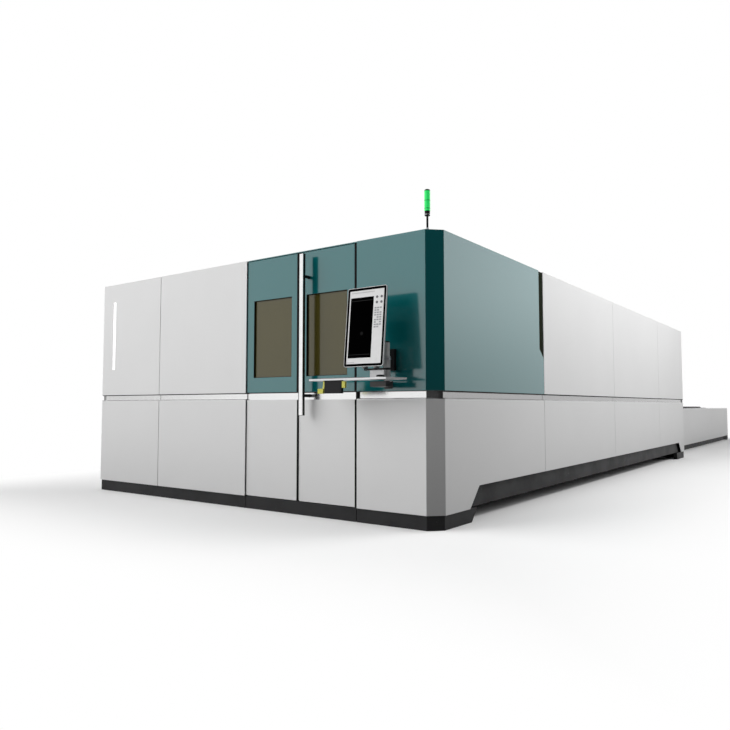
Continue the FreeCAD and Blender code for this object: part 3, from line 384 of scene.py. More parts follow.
TEAL = gloss_teal("teal_gloss", (0.002, 0.134, 0.143))
WHITE = powder_coat("white_powder", grey(0.8), 0.42, dust_and_floor_shade=0.0)
LIGHT = powder_coat("light_powder", grey(0.78), 0.44, strip=True)
CHARCOAL = worn_paint("charcoal_paint", (0.032, 0.032, 0.033), 0.55, grey(0.14), 0.76,
                      Specular_IOR_Level=0.15)
FRAME_GREY = worn_paint("frame_grey", (0.22, 0.23, 0.24), 0.48, chips=0.72)
BED_PAINT = worn_paint("bed_paint", (0.45, 0.46, 0.47), 0.45, chips=0.78)
GUIDE_STEEL = brushed("ground_steel", (0.62, 0.63, 0.65), 0.2, "y")
BEAM_GUIDE = brushed("ground_steel_across", (0.62, 0.63, 0.65), 0.2, "x")
TRAY_STEEL = brushed("satin_tray", (0.8, 0.8, 0.81), 0.3, "x")
BRASS = brushed("turned_brass", (0.72, 0.5, 0.22), 0.22, "x")
SLAT_COLOUR = (0.26, 0.245, 0.23)
SLAT_STEEL = mill_steel("slat_steel", SLAT_COLOUR, 0.45)
BELT_STEEL = mill_steel("belt_steel", (0.22, 0.21, 0.2), 0.5, rust=0.5)
ALU = cast_grey("anodised_aluminium", (0.7, 0.71, 0.72), 0.36)
ZINC = cast_grey("zinc_plate", (0.55, 0.56, 0.58), 0.32)
SILVER = moulded("silver_plastic", (0.55, 0.56, 0.57), 0.34, Metallic=0.35)
KEY_WHITE = moulded("white_plastic", grey(0.78), 0.42)
KEY_GREY = moulded("grey_key", (0.36, 0.37, 0.38), 0.46)
KEY_PALE = moulded("pale_key", (0.55, 0.55, 0.56), 0.46)
KEY_DARK = moulded("dark_key", (0.14, 0.14, 0.15), 0.44)
BEZEL = moulded("screen_border", grey(0.001), 0.5, Specular_IOR_Level=0.0)
BLACK = moulded("black_plastic", (0.013, 0.013, 0.014), 0.42, Specular_IOR_Level=0.18)
RUBBER = moulded("black_rubber", grey(0.005), 0.65, 0.0016, 0.00008, Specular_IOR_Level=0.12)
YELLOW = moulded("yellow_plastic", (0.62, 0.6, 0.1), 0.4)
GLASS = amber_glass("amber_window", (0.066, 0.056, 0.011), 1.68)
NOTCH_GLASS = amber_glass("notch_window", (0.012, 0.016, 0.008), 1.03, rough=0.3)
LAMP_GREEN = lit_lens("green_lamp", (0.02, 0.62, 0.12), 0.75, 0.0042, LAMP_JOINTS)
LAMP_WHITE = lit_lens("strip_lamp", grey(1.0), 1.0)
SCREEN = screen_glass()
PULL_BAR = zones("pull_bar", grey(0.97), grey(0.01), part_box("door_handle")[0][1] + 0.005,
                 along="y", rough=(0.26, 0.5), metal=(1.0, 0.0))
CARRIER = zones("carrier", (0.62, 0.62, 0.63), (0.022, 0.022, 0.023), 1.2125,
                then=(1.229, grey(0.62)))
ARM = zones("console_arm", (0.075, 0.072, 0.07), (0.06, 0.059, 0.058),
            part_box("console_arm")[0][1] + 0.004, along="y", rough=(0.45, 0.4), metal=(0.0, 0.0),
            then=(1.13, grey(0.75)))

# left long side: service doors and slotted vents, flush with the skin
DOOR_PLACES = [(-5.95, -5.05), (-5.04, -4.14), (-2.95, -2.05)]
LEFT_WHITE = powder_coat(
    "white_powder_left", grey(0.8), 0.42, dust_and_floor_shade=0.0,
    doors=[(y0, y1, 1.12, 2.18) for y0, y1 in DOOR_PLACES],
    vents=[(-0.85, -0.15, 1.45, 1.95), (-7.55, -6.95, 1.5, 1.9)])
LEFT_LIGHT = powder_coat(
    "light_powder_left", grey(0.78), 0.44, strip=True,
    doors=[(y0, y1, 0.36, 0.93) for y0, y1 in DOOR_PLACES], vents=[(-0.85, -0.25, 0.45, 0.85)])

FINISHES = {
    TEAL: "skin_upper_corner door_header leaf_right_skin leaf_left_skin",
    WHITE: "skin_upper_front skin_upper_right skin_rear roof gantry_beam",
    LEFT_WHITE: "skin_upper_left",
    LIGHT: "skin_lower_corner skin_lower_front skin_lower_right leaf_right_body leaf_left_body"
           " table_skins",
    LEFT_LIGHT: "skin_lower_left",
    CHARCOAL: "plinth skirts table_plinth table_stops",
    FRAME_GREY: "frame_front frame_right frame_left frame_rear roof_beams table_frame",
    BED_PAINT: "bed wheel_ledges pallet_lower_frame pallet_upper_frame",
    GUIDE_STEEL: "bed_guides",
    BEAM_GUIDE: "gantry_guides door_track",
    PULL_BAR: "door_handle",
    TRAY_STEEL: "console_tray",
    SLAT_STEEL: "pallet_lower_slats pallet_upper_slats",
    BELT_STEEL: "scrap_belt",
    ALU: "cross_carriage head_slide",
    BRASS: "nozzle",
    SILVER: "screen_shell",
    CARRIER: "console_carrier",
    ARM: "console_arm",
    KEY_WHITE: "screen_face",
    BLACK: "hand_unit tower_pole tower_cap gantry_motors cutting_head",
    YELLOW: "hand_unit_trim",
    BEZEL: "screen_bezel",
    GLASS: "leaf_right_window leaf_left_window",
    NOTCH_GLASS: "side_window",
    LAMP_GREEN: "tower_lamp",
    LAMP_WHITE: "light_strip",
    SCREEN: "screen_display",
}
finished = 0
for finish, nodes in FINISHES.items():
    for node in nodes.split():
        NODE[node].data.materials.clear()
        NODE[node].data.materials.append(finish)
        finished += 1
assert finished == len(NODE)


def rounded(piece, width, from_degrees):
    """Rounds a piece's sharper edges with a bevel."""
    edge = piece.modifiers.new("edge", "BEVEL")
    edge.width, edge.segments = width, 2
    edge.limit_method, edge.angle_limit = "ANGLE", math.radians(from_degrees)
    edge.harden_normals = True


SOFT_EDGES = {
    0.0022: "skin_upper_corner skin_lower_corner skin_upper_front skin_lower_front"
            " skin_upper_right skin_lower_right skin_upper_left skin_lower_left skin_rear roof"
            " door_header leaf_right_skin leaf_left_skin leaf_right_body leaf_left_body"
            " table_skins plinth door_handle",
    0.0012: "console_tray console_arm light_strip side_window skirts",
    0.003: "gantry_beam table_stops console_carrier hand_unit hand_unit_trim cross_carriage"
            " head_slide gantry_motors bed",
}
for width, nodes in SOFT_EDGES.items():
    for node in nodes.split():
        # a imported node's triangles are loose, so they are joined before the bevel
        NODE[node].modifiers.new("join", "WELD").merge_threshold = 0.00002
        rounded(NODE[node], width, 28)


# ---- ways to make pieces ----
TURN = {"x": Matrix.Rotation(math.radians(90), 4, "Y"), "z": Matrix.Identity(4),
        "y": Matrix.Rotation(math.radians(-90), 4, "X")}
SHARP = 34                          # degrees between faces that meet in an edge
PIVOT = Vector(HINGE["screen_tilt"])
LEAN = (Matrix.Translation(PIVOT) @ Matrix.Rotation(math.radians(-5.5), 4, "X")
        @ Matrix.Translation(-PIVOT))


def circle(count):
    """The cosine and sine of equal turns."""
    turns = [2 * math.pi * k / count for k in range(count)]
    return [(math.cos(a), math.sin(a)) for a in turns]


class Shape:
    """One piece in the making. Each part of it is added where it sits on the machine."""

    def __init__(self):
        self.bm = bmesh.new()

    def block(self, lo, hi):
        """A box between two corners."""
        corners = bmesh.ops.create_cube(self.bm, size=1.0)["verts"]
        middle = (Vector(lo) + Vector(hi)) / 2
        span = Vector(hi) - Vector(lo)
        for corner in corners:
            corner.co = Vector(m + s * c for m, s, c in zip(middle, span, corner.co))
        return self

    def drum(self, radius, start, length, along="z", sides=24):
        """A plain round bar from start."""
        place = Matrix.Translation(start) @ TURN[along] @ Matrix.Translation((0, 0, length / 2))
        bmesh.ops.create_cone(self.bm, cap_ends=True, segments=sides, radius1=radius,
                              radius2=radius, depth=length, matrix=place)
        return self

    def turned(self, outline, start=(0, 0, 0), along="z", sides=32):
        """A round part through (radius, height) pairs, closed at both ends."""
        place = Matrix.Translation(start) @ TURN[along]
        rings = [[self.bm.verts.new(place @ Vector((r * c, r * s, height)))
                  for c, s in circle(sides)] for r, height in outline]
        for low, high in zip(rings, rings[1:]):
            for k in range(sides):
                j = (k + 1) % sides
                self.bm.faces.new((low[k], low[j], high[j], high[k]))
        self.bm.faces.new(rings[0][::-1])
        self.bm.faces.new(rings[-1])
        return self

    def slab(self, outline, low, high, across="x"):
        """A flat part: the outline's points, thick between two places on one axis."""
        axis = "xyz".index(across)
        ends = [[self.bm.verts.new((*point[:axis], place, *point[axis:])) for point in outline]
                for place in (low, high)]
        self.bm.faces.new(ends[0])
        self.bm.faces.new(ends[1][::-1])
        for k in range(len(outline)):
            j = (k + 1) % len(outline)
            self.bm.faces.new((ends[0][k], ends[1][k], ends[1][j], ends[0][j]))
        return self

    def rolled(self, degrees):
        """Turns all of it about the x axis."""
        self.bm.transform(Matrix.Rotation(math.radians(degrees), 4, "X"))
        return self

    def mirrored(self):
        """Adds the same again on the other side of the machine."""
        copy = bmesh.ops.duplicate(self.bm, geom=self.bm.verts[:] + self.bm.faces[:])["geom"]
        for part in copy:
            if isinstance(part, bmesh.types.BMVert):
                part.co.x = -part.co.x
        return self

    def mesh(self, name):
        bmesh.ops.recalc_face_normals(self.bm, faces=self.bm.faces[:])
        made = bpy.data.meshes.new(name)
        self.bm.to_mesh(made)
        self.bm.free()
        return made


def screw_head(radius, rim, crown, high, along="z", sides=10, foot=0.0):
    """A low head: a short rim, then a slope up to its flat crown."""
    return Shape().turned([(radius, foot), (radius, rim), (crown, high)], (0, 0, 0), along, sides)


def hexagon(across, high):
    """A bolt head that stands on z = 0."""
    corner, flat = across * 0.72, across / 2
    return Shape().turned([(corner, 0), (corner, high * 0.2), (flat, high * 0.3),
                           (flat, high * 0.85), (across * 0.42, high)], sides=6)


def key_cap(half_x, half_z, low, high):
    """A small flat key, thick along y."""
    outline = [(-half_x, -half_z), (half_x, -half_z), (half_x, half_z), (-half_x, half_z)]
    return Shape().slab(outline, low, high, "y")


def linked(name, data):
    made = bpy.data.objects.new(name, data)
    bpy.context.scene.collection.objects.link(made)
    return made


def fitted(name, shape, finish, body="machine", edge=0.0, slot=None, hides=()):
    """Puts a finished piece on the body that carries it. The screen's pieces lean with it."""
    mesh = shape.mesh(name) if isinstance(shape, Shape) else shape
    if body == "screen":
        mesh.transform(LEAN)
    if not mesh.materials:
        mesh.materials.append(finish)
    for face in mesh.polygons:
        face.use_smooth = True
    mesh.set_sharp_from_angle(angle=math.radians(SHARP))
    piece = linked(name, mesh)
    if edge:
        rounded(piece, edge, SHARP)
    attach(piece, body)
    if hides:
        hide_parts(*hides)


class Pattern(Graph):
    """A Geometry Nodes tree for what repeats. Its sizes are named inputs."""
    family = "GeometryNode"

    def __init__(self, name):
        super().__init__(bpy.data.node_groups.new(name, "GeometryNodeTree"))
        for way in ("INPUT", "OUTPUT"):
            self.tree.interface.new_socket(
                "Geometry", in_out=way, socket_type="NodeSocketGeometry")
        self.entry = self.tree.nodes.new("NodeGroupInput")
        self.sizes = {}

    def size(self, name, value, kind):
        """A named input of the tree, with its value on this machine."""
        socket = self.tree.interface.new_socket(
            name, in_out="INPUT", socket_type="NodeSocket" + kind)
        self.sizes[socket.identifier] = value
        return Val(self, self.entry.outputs[name])

    def repeated(self, name, shape, points, finish, base=None):
        """One plain mesh of the small part, set at every point, in its finish."""
        model = linked(name + "_one", shape.mesh(name + "_one"))
        part = self.node("ObjectInfo", {"Object": self.size("Part", model, "Object")})
        copies = self.node("InstanceOnPoints", {
            "Points": points, "Instance": part["Geometry"]})["Instances"]
        real = self.node("RealizeInstances", {"Geometry": copies})["Geometry"]
        painted = self.node("SetMaterial", {"Geometry": real, "Material": finish})
        self.tree.links.new(painted["Geometry"].socket,
                            self.tree.nodes.new("NodeGroupOutput").inputs[0])
        holder = linked("holder", base or bpy.data.meshes.new("holder"))
        grow = holder.modifiers.new("pattern", "NODES")
        grow.node_group = self.tree
        for identifier, value in self.sizes.items():
            grow[identifier] = value
        grown = holder.evaluated_get(bpy.context.evaluated_depsgraph_get())
        mesh = bpy.data.meshes.new_from_object(grown)
        holder.modifiers.remove(grow)
        bpy.data.objects.remove(holder)
        bpy.data.objects.remove(model)
        return mesh


def fitted_row(name, shape, start, pitch, count, finish, body="machine", **more):
    """The same small part in a straight row: from start, a pitch apart."""
    p = Pattern(name + "_row")
    line = p.node("MeshLine", {
        "Count": p.size("Count", count, "Int"),
        "Start Location": p.size("Start", start, "Vector"),
        "Offset": p.size("Pitch", pitch, "Vector")}, mode="OFFSET")["Mesh"]
    fitted(name, p.repeated(name, shape, line, finish), finish, body, **more)


def fitted_at(name, shape, places, finish, body="machine", **more):
    """The same small part at each of the places given."""
    p = Pattern(name + "_places")
    base = bpy.data.meshes.new(name + "_places")
    base.from_pydata(places, [], [])
    points = Val(p, p.entry.outputs["Geometry"])
    fitted(name, p.repeated(name, shape, points, finish, base), finish, body, **more)


def spots(*axes):
    """Every crossing of the places along x, y and z; one place may stand without brackets."""
    xs, ys, zs = [axis if isinstance(axis, (list, tuple)) else [axis] for axis in axes]
    return [(x, y, z) for x in xs for y in ys for z in zs]


def between(low, high, count):
    return [low + (high - low) * k / (count - 1) for k in range(count)]


def boxed(name, finish, *limits, on="machine", edge=0.0, mirror=False):
    """A piece of blocks, each given as x0, x1, y0, y1, z0, z1."""
    shape = Shape()
    for x0, x1, y0, y1, z0, z1 in limits:
        shape.block((x0, y0, z0), (x1, y1, z1))
    fitted(name, shape.mirrored() if mirror else shape, finish, on, edge)


def rim(x0, x1, y0, y1, z0, z1, wide):
    """Four blocks just inside the edges of an upright rectangle."""
    inner = x0 + wide, x1 - wide, y0, y1
    return [(x0, x0 + wide, y0, y1, z0, z1), (x1 - wide, x1, y0, y1, z0, z1),
            (*inner, z0, z0 + wide), (*inner, z1 - wide, z1)]


def lathed(name, finish, outline, *starts, on="machine", along="z", sides=32, mirror=False,
           slot=None):
    """A piece of round parts that share one outline."""
    shape = Shape()
    for start in starts:
        shape.turned(outline, start, along, sides)
    fitted(name, shape.mirrored() if mirror else shape, finish, on, slot=slot)


# ---- doors ----
GROOVE_TOP, GROOVE_LOW = BAND_TOP + 0.004, BAND_LOW - 0.004
BAND_FACE = FRONT_Y + 0.0275        # the leaves' groove, behind the fixed band


def leaf_edge(name, leaf, upper, lower, edge):
    """Black rubber along one upright edge of a leaf: above, in and below the groove; its black is
    also painted shade in the door gaps.
    """
    (_, face, _), (_, _, top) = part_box(leaf + "_skin")
    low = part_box(leaf + "_body")[0][2]
    boxed(name, RUBBER,
          (*upper, face - 0.0016, face + 0.02, GROOVE_TOP, top),
          (*lower, face - 0.0016, face + 0.02, low, GROOVE_LOW),
          (*lower, BAND_FACE - 0.0005, BAND_FACE + 0.01, GROOVE_LOW, GROOVE_TOP),
          edge=edge, on=leaf)


for side in ("right", "left"):
    leaf = "leaf_" + side
    (x0, face, _), (x1, _, top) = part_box(leaf + "_skin")
    if side == "right":
        right_x = x1
        meet = (x0 - 0.0115, x0 + 0.004), (x0 - 0.0115, x0 - 0.005)
        leaf_edge("stile_seal_right", leaf, (x1 - 0.0145, x1 + 0.0035),
                  (x1 - 0.011, x1 + 0.0035), 0.0008)
        boxed("leaf_fold_right", LIGHT,
              (x0 - 0.005, x0 + 0.006, face - 0.0012, face + 0.015, 0.125, GROOVE_LOW),
              edge=0.0015, on=leaf)
    else:
        meet = (x1 - 0.0095, x1 + 0.0115), (x1 - 0.004, x1 + 0.0115)
    leaf_edge("meeting_seal_" + side, leaf, *meet, 0.0012)
    # the gasket is thickest at the left of the pane
    (wx0, back, wz0), (wx1, _, wz1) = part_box(leaf + "_window")
    inner, outer = wx0 + 0.0055, wx1 - 0.0022
    boxed("window_gasket_" + side, RUBBER,
          (wx0, inner, face - 0.0008, back, wz0, wz1),
          (outer, wx1, face + 0.0012, back, wz0, wz1),
          (inner, outer, face + 0.0002, back, wz0, wz0 + 0.002475),
          (inner, outer, face + 0.0002, back, wz1 - 0.0033, wz1), edge=0.0006, on=leaf)
    # the rollers' hangers, behind the head of the leaf
    boxed("hanger_plates_" + side, ZINC,
          *((x - 0.045, x + 0.045, face + 0.036, face + 0.0415, top - 0.15, top - 0.085)
            for x in (x0 + 0.11, x1 - 0.11)), edge=0.0015, on=leaf)

# brush seal on the post behind the gap beside the right leaf; its black is also painted shade that
# darkens the gap
boxed("post_brush", RUBBER,
      (right_x - 0.004, right_x + 0.03, FRONT_Y + 0.056, FRONT_Y + 0.0695, 0.3, ROOF_Z - 0.17),
      edge=0.002)

# the pull bar's stand-offs get sleeves, and the bar its end plates
(x0, y0, z0), (x1, _, z1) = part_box("door_handle")
bar_back = y0 + 0.032
sleeves = Shape()
for z, reach in ((z1 - 0.193, FRONT_Y + 0.012), (BAND_MIDDLE, FRONT_Y + 0.028)):
    long = reach - 0.0005 - bar_back
    sleeves.turned([(0.0145, 0), (0.0145, 0.003), (0.0134, 0.004), (0.0134, long - 0.006),
                    (0.015, long - 0.005), (0.015, long)], ((x0 + x1) / 2, bar_back, z), "y", 24)
fitted("handle_sleeves", sleeves, BLACK, "leaf_right")
boxed("handle_ends", BLACK,
      *((x0 - 0.0006, x1 + 0.0006, y0 - 0.0005, bar_back + 0.0005, z, z + 0.003)
        for z in (z0, z1 - 0.003)), edge=0.0006, on="leaf_right")

# a black block that closes the fixed band's end beside the right leaf: painted shade that widens
# the dark gap there
boxed("band_stop", RUBBER,
      (right_x + 0.0165, right_x + 0.027, FRONT_Y + 0.0085, FRONT_Y + 0.0235,
       BAND_LOW + 0.0035, BAND_TOP - 0.0035), edge=0.001)

# black strips under the upper skins of the right long side and of the white front: painted shade
# for the shadow gap under their edges
boxed("waist_seal", RUBBER,
      (SIDE_X - 0.012, SIDE_X - 0.0012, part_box("skin_upper_corner")[0][1] + 0.11, REAR_Y - 0.01,
       BAND_TOP - 0.009, BAND_TOP))
(x0, _, z0), (x1, _, _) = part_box("skin_upper_front")
boxed("waist_seal_front", RUBBER,
      (x0 + 0.01, x1 - 0.001, FRONT_Y + 0.0012, FRONT_Y + 0.012, z0 - 0.007, z0))


# ---- console ----
# the screen's box before it leans back
SCR_X0, SCR_X1 = CORNER_X - 0.574, CORNER_X - 0.203
SCR_Z0, SCR_Z1 = 1.23, 1.852
SCR_FACE, SCR_BACK = FRONT_Y - 0.27, FRONT_Y - 0.227

# the border's inner lip, over the white face's edge
BORDER = 0.0165
lip = rim(SCR_X0 + BORDER, SCR_X1 - BORDER, SCR_FACE - 0.0014, SCR_FACE + 0.001,
          SCR_Z0 + BORDER, SCR_Z1 - BORDER, 0.006)
boxed("screen_lip", BEZEL, *lip, on="screen")

# round and small keys on the white face, right of the display, and its rows of lamps
ring = Shape().turned([(0.01, 0), (0.01, 0.0016), (0.009, 0.0024), (0.0075, 0.0024),
                       (0.007, 0.003)], (0, 0, 0), "y", 20)
ring.bm.transform(Matrix.Rotation(math.pi, 4, "Z"))
rounds = spots((SCR_X1 - 0.087, SCR_X1 - 0.045), SCR_FACE, (SCR_Z1 - 0.086, SCR_Z1 - 0.128))
fitted_at("round_keys", ring, rounds, KEY_DARK, "screen")
small = [(SCR_X1 - 0.096 + col * 0.024, SCR_FACE - 0.0005, SCR_Z1 - 0.172 - row * 0.0185)
         for row in range(9) for col in range(3) if (row * 3 + col) % 7 != 5]
fitted_at("small_keys", key_cap(0.0085, 0.0052, -0.0018, 0.0008), small, KEY_GREY, "screen",
          edge=0.0004)
dots = [(SCR_X0 + 0.045 + 0.0115 * k, SCR_FACE - 0.0004, SCR_Z1 - 0.04) for k in range(19)]
dots += [(SCR_X0 + 0.03 + 0.0125 * k, SCR_FACE - 0.0004, SCR_Z0 + 0.034) for k in range(6)]
fitted_at("lamp_dots", key_cap(0.0042, 0.003, -0.0008, 0.0006), dots, KEY_PALE, "screen")

# the screen's back: cooling slots, a connector box and four screws
vents = [(SCR_X0 + 0.06 + 0.01 * k, SCR_BACK, SCR_Z1 - 0.075) for k in range(26)]
fitted_at("screen_vents", key_cap(0.0022, 0.026, -0.0006, 0.0012), vents, BLACK, "screen")
backing = Shape().block((SCR_X0 + 0.1, SCR_BACK - 0.002, SCR_Z0 + 0.24),
                        (SCR_X1 - 0.1, SCR_BACK + 0.022, SCR_Z0 + 0.4))
for x in (SCR_X0 + 0.13, SCR_X0 + 0.17, SCR_X0 + 0.21):
    backing.turned([(0.0095, 0), (0.0095, 0.01), (0.007, 0.013), (0.007, 0.02)],
                   (x, SCR_BACK + 0.01, SCR_Z0 + 0.222), "z", 16)
fitted("connector_box", backing, BLACK, "screen", 0.002)
corners = spots((SCR_X0 + 0.04, SCR_X1 - 0.04), SCR_BACK, (SCR_Z0 + 0.045, SCR_Z1 - 0.045))
fitted_at("screen_screws", screw_head(0.0048, 0.0016, 0.0034, 0.0028, "y", 12, -0.0004), corners,
          ZINC, "screen")

# the tray: a knob with its ring at the right, and a keyboard
(_, tray_y, _), (_, _, tray_z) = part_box("console_tray")
knob = CORNER_X - 0.252, tray_y + 0.058
lathed("tray_knob", BLACK,
       [(0.034, 0), (0.034, 0.006), (0.031, 0.009), (0.031, 0.017), (0.026, 0.021),
        (0.01, 0.0225)], (*knob, tray_z - 0.001), sides=40, on="console")
lathed("knob_ring", KEY_WHITE, [(0.0375, 0), (0.0375, 0.0035), (0.035, 0.005)],
       (*knob, tray_z - 0.0005), sides=40, on="console")
board_x = CORNER_X - 0.84
boxed("keyboard", BLACK,
      (board_x, board_x + 0.42, tray_y + 0.05, tray_y + 0.175, tray_z - 0.001, tray_z + 0.0055),
      edge=0.002, on="console")
key = Shape().slab([(-0.0065, -0.0062), (0.0065, -0.0062), (0.0055, 0.0052), (-0.0055, 0.0052)],
                   -0.001, 0.0022, "z")
keys = [(board_x + 0.016 + 0.0155 * col + 0.004 * (row % 2), tray_y + 0.064 + 0.0155 * row,
         tray_z + 0.0055) for row in range(6) for col in range(26)]
fitted_at("keyboard_keys", key, keys, KEY_GREY, "console")

# the hand unit's cover
(x0, y0, z0), (x1, _, z1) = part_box("hand_unit")
boxed("hand_unit_cover", BLACK,
      (x0 + 0.012, x1 - 0.012, y0 - 0.0012, y0 + 0.002, z0 + 0.014, z1 - 0.014),
      edge=0.001, on="console")

# the post's cap and clamp, and a black box on the wall right of the post: painted shade and dark
# reflection beside the post
post = HINGE["console_swivel"][0], FRONT_Y - 0.165
lathed("post_cap", BLACK,
       [(0.024, -0.002), (0.024, 0.004), (0.019, 0.008), (0.008, 0.0095)],
       (*post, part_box("console_arm")[1][2]), sides=28)
lathed("post_clamp", ZINC, [(0.031, 0), (0.033, 0.002), (0.033, 0.02), (0.031, 0.022)],
       (*post, tray_z + 0.135), sides=28, slot="silver_plastic", on="console")
boxed("lead_box", BLACK,
      (CORNER_X - 0.316, CORNER_X - 0.266, FRONT_Y - 0.03, FRONT_Y - 0.0002, 1.215, 1.385),
      edge=0.003)


# ---- tower light ----
(x0, y0, _), (x1, y1, _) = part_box("tower_lamp")
tower = (x0 + x1) / 2, (y0 + y1) / 2
lathed("tower_rings", BLACK,
       [(0.021, -0.0012), (0.0234, -0.0008), (0.0234, 0.0008), (0.021, 0.0012)],
       *spots(*tower, LAMP_JOINTS), sides=40)
collar = Shape().turned([(0.019, 0), (0.0226, 0.002), (0.0226, 0.008), (0.019, 0.01)],
                        (*tower, LAMP_LOW - 0.034), "z", 40)
collar.turned([(0.012, 0), (0.015, 0.002), (0.011, 0.016)], (*tower, ROOF_Z + 0.0075), "z", 24)
fitted("tower_collar", collar, ZINC)
places = [(tower[0] + 0.0155 * math.cos(a), tower[1] + 0.0155 * math.sin(a), ROOF_Z + 0.0078)
          for a in (0.5, 2.6, 4.7)]
fitted_at("tower_screws", screw_head(0.003, 0.002, 0.0018, 0.003, sides=8), places, ZINC)


# ---- pallets, bed and gantry ----
def toothed_slat(half, valley, tip, thick, teeth):
    """A support slat on z = 0: a flat bar whose top edge is cut into points."""
    pitch = 2 * half / teeth
    outline = [(-half, 0.0), (half, 0.0)]
    for k in range(teeth):
        x = half - k * pitch
        outline += [(x, valley), (x - pitch * 0.44, tip), (x - pitch * 0.56, tip)]
    outline.append((-half, valley))
    return Shape().slab(outline, -thick / 2, thick / 2, "y")


for level in ("lower", "upper"):
    pallet = "pallet_" + level
    (_, sy0, sz0), (sx1, _, sz1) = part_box(pallet + "_slats")
    (_, py0, _), (px1, py1, pz1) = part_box(pallet + "_frame")
    burnt = mill_steel("slat_steel_" + level, SLAT_COLOUR, 0.45, burnt=sz0 + 0.045)
    slats = (0, sy0 + 0.0025, sz0), (0, 0.1, 0), 59
    fitted_row("slats_" + level, toothed_slat(sx1, 0.052, sz1 - sz0, 0.004, 66), *slats, burnt,
               pallet, slot="raw_steel", hides=(pallet + "_slats",))
    comb = Shape()
    for low, high in ((-0.01, -0.003), (0.003, 0.01)):
        comb.block((sx1 - 0.027, low, 0.0), (sx1 - 0.002, high, 0.036))
    fitted_row("slat_combs_" + level, comb.mirrored(), *slats, BED_PAINT, pallet)
    for side, x in (("right", px1 - 0.092), ("left", 0.092 - px1)):
        fitted_row("frame_bolts_" + side + "_" + level, hexagon(0.018, 0.008),
                   (x, py0 + 0.1, pz1 - 0.0005), (0, 0.2, 0), 32, ZINC, pallet)
    lathed("wheel_hubs_" + level, BLACK,
           [(0.032, 0), (0.032, 0.003), (0.022, 0.005), (0.014, 0.005), (0.014, 0.01),
            (0.01, 0.012)], *spots(px1 - 0.001, between(py0 + 0.3, py1 - 0.3, 4), pz1 - 0.09),
           along="x", sides=24, mirror=True, on=pallet)
    boxed("pallet_lugs_" + level, YELLOW,
          *((x - 0.05, x + 0.05, y, y + 0.04, pz1 - 0.002, pz1 + 0.012)
            for y in (py0 + 0.004, py1 - 0.044) for x in (0.45, 1.05)),
          edge=0.003, mirror=True, on=pallet)

# rack teeth, the plugs over the guides' screws, and the belt's hinges
(_, gy0, gz0), (gx1, gy1, gz1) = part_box("bed_guides")
root = gx1 - 0.1005                 # where a tooth leaves its rack
tooth = Shape().slab([(root, -0.0045), (root, 0.0045), (root + 0.005, 0.0021),
                      (root + 0.005, -0.0021)], gz0 + 0.001, gz0 + 0.0255, "z")
fitted_row("rack_teeth", tooth.mirrored(), (0, gy0 + 0.01, 0), (0, 0.0125, 0),
           int((gy1 - gy0 - 0.02) / 0.0125), GUIDE_STEEL)
plug = Shape().drum(0.007, (gx1 - 0.022, 0, gz1 - 0.0003), 0.0005, "z", 10)
fitted_row("guide_plugs", plug.mirrored(), (0, gy0 + 0.03, 0), (0, 0.06, 0),
           int((gy1 - gy0 - 0.03) / 0.06), ZINC)
rib = Shape().block((-1.145, -0.003, 0.249), (1.145, 0.003, 0.255))
fitted_row("belt_hinges", rib, (0, -6.2, 0), (0, 0.063, 0), 100, BELT_STEEL)

# gantry: cover plates on the beam's front, finned drives with caps
(_, my0, _), (mx1, my1, mz1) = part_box("gantry_motors")
beam_face = my0 - 0.06
covers = (-1.72, -0.6), (-0.56, 0.56), (0.6, 1.72)
boxed("beam_covers", LIGHT,
      *((*ends, beam_face - 0.004, beam_face + 0.002, 1.232, 1.434) for ends in covers),
      edge=0.0015, on="gantry")
heads = [spot for x0, x1 in covers
         for spot in spots(between(x0 + 0.03, x1 - 0.03, 5), beam_face - 0.0035, (1.25, 1.416))]
fitted_at("beam_screws", hexagon(0.012, 0.005).rolled(90), heads, ZINC, "gantry")
FIN, FIN_PITCH = 0.0035, (0, 0, 0.0105)
drive = mx1 - 0.0545, (my0 + my1) / 2
fin = Shape().drum(0.058, (*drive, 0), FIN, "z", 32).mirrored()
fitted_row("drive_fins", fin, (0, 0, mz1 - 0.138), FIN_PITCH, 11, BLACK, "gantry")
lathed("drive_caps", SILVER, [(0.046, 0), (0.046, 0.004), (0.04, 0.01), (0.014, 0.013)],
       (*drive, mz1 - 0.001), mirror=True, on="gantry")

# carriage and head: finned drive, bolts, collimator tube, rings round the nozzle's holder
(cx0, cy0, _), (cx1, cy1, cz1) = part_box("cross_carriage")
head_x = (cx0 + cx1) / 2
fin = Shape().drum(0.0585, (head_x - 0.07, cy0 + 0.07, 0), FIN, "z", 32)
fitted_row("cross_drive_fins", fin, (0, 0, cz1 - 0.15), FIN_PITCH, 12, BLACK, "carriage")
bolts = spots((cx0 + 0.03, cx1 - 0.03), between(cy0 + 0.03, cy1 - 0.09, 3), cz1 - 0.1705)
fitted_at("carriage_bolts", hexagon(0.014, 0.008), bolts, ZINC, "carriage")
(nx0, ny0, nz0), (nx1, ny1, nz1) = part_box("nozzle")
nozzle = (nx0 + nx1) / 2, (ny0 + ny1) / 2
lathed("collimator", ALU,
       [(0.03, 0), (0.034, 0.004), (0.034, 0.03), (0.03, 0.034), (0.03, 0.15), (0.033, 0.152),
        (0.033, 0.176), (0.027, 0.18), (0.027, 0.28), (0.02, 0.29), (0.02, 0.33),
        (0.011, 0.336), (0.011, 0.372)],
       (head_x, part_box("head_slide")[1][1] + 0.024, nz1 + 0.125), sides=36, on="head")
lathed("head_rings", SILVER,
       [(0.0515, 0), (0.0545, 0.002), (0.0545, 0.006), (0.0515, 0.008)],
       *spots(*nozzle, (nz0 + 0.126, nz0 + 0.14)), sides=36, on="head")
lathed("nozzle_ring", BLACK,
       [(0.0265, 0), (0.0275, 0.002), (0.0275, 0.008), (0.0265, 0.01)],
       (*nozzle, nz0 + 0.056), sides=36, on="head")


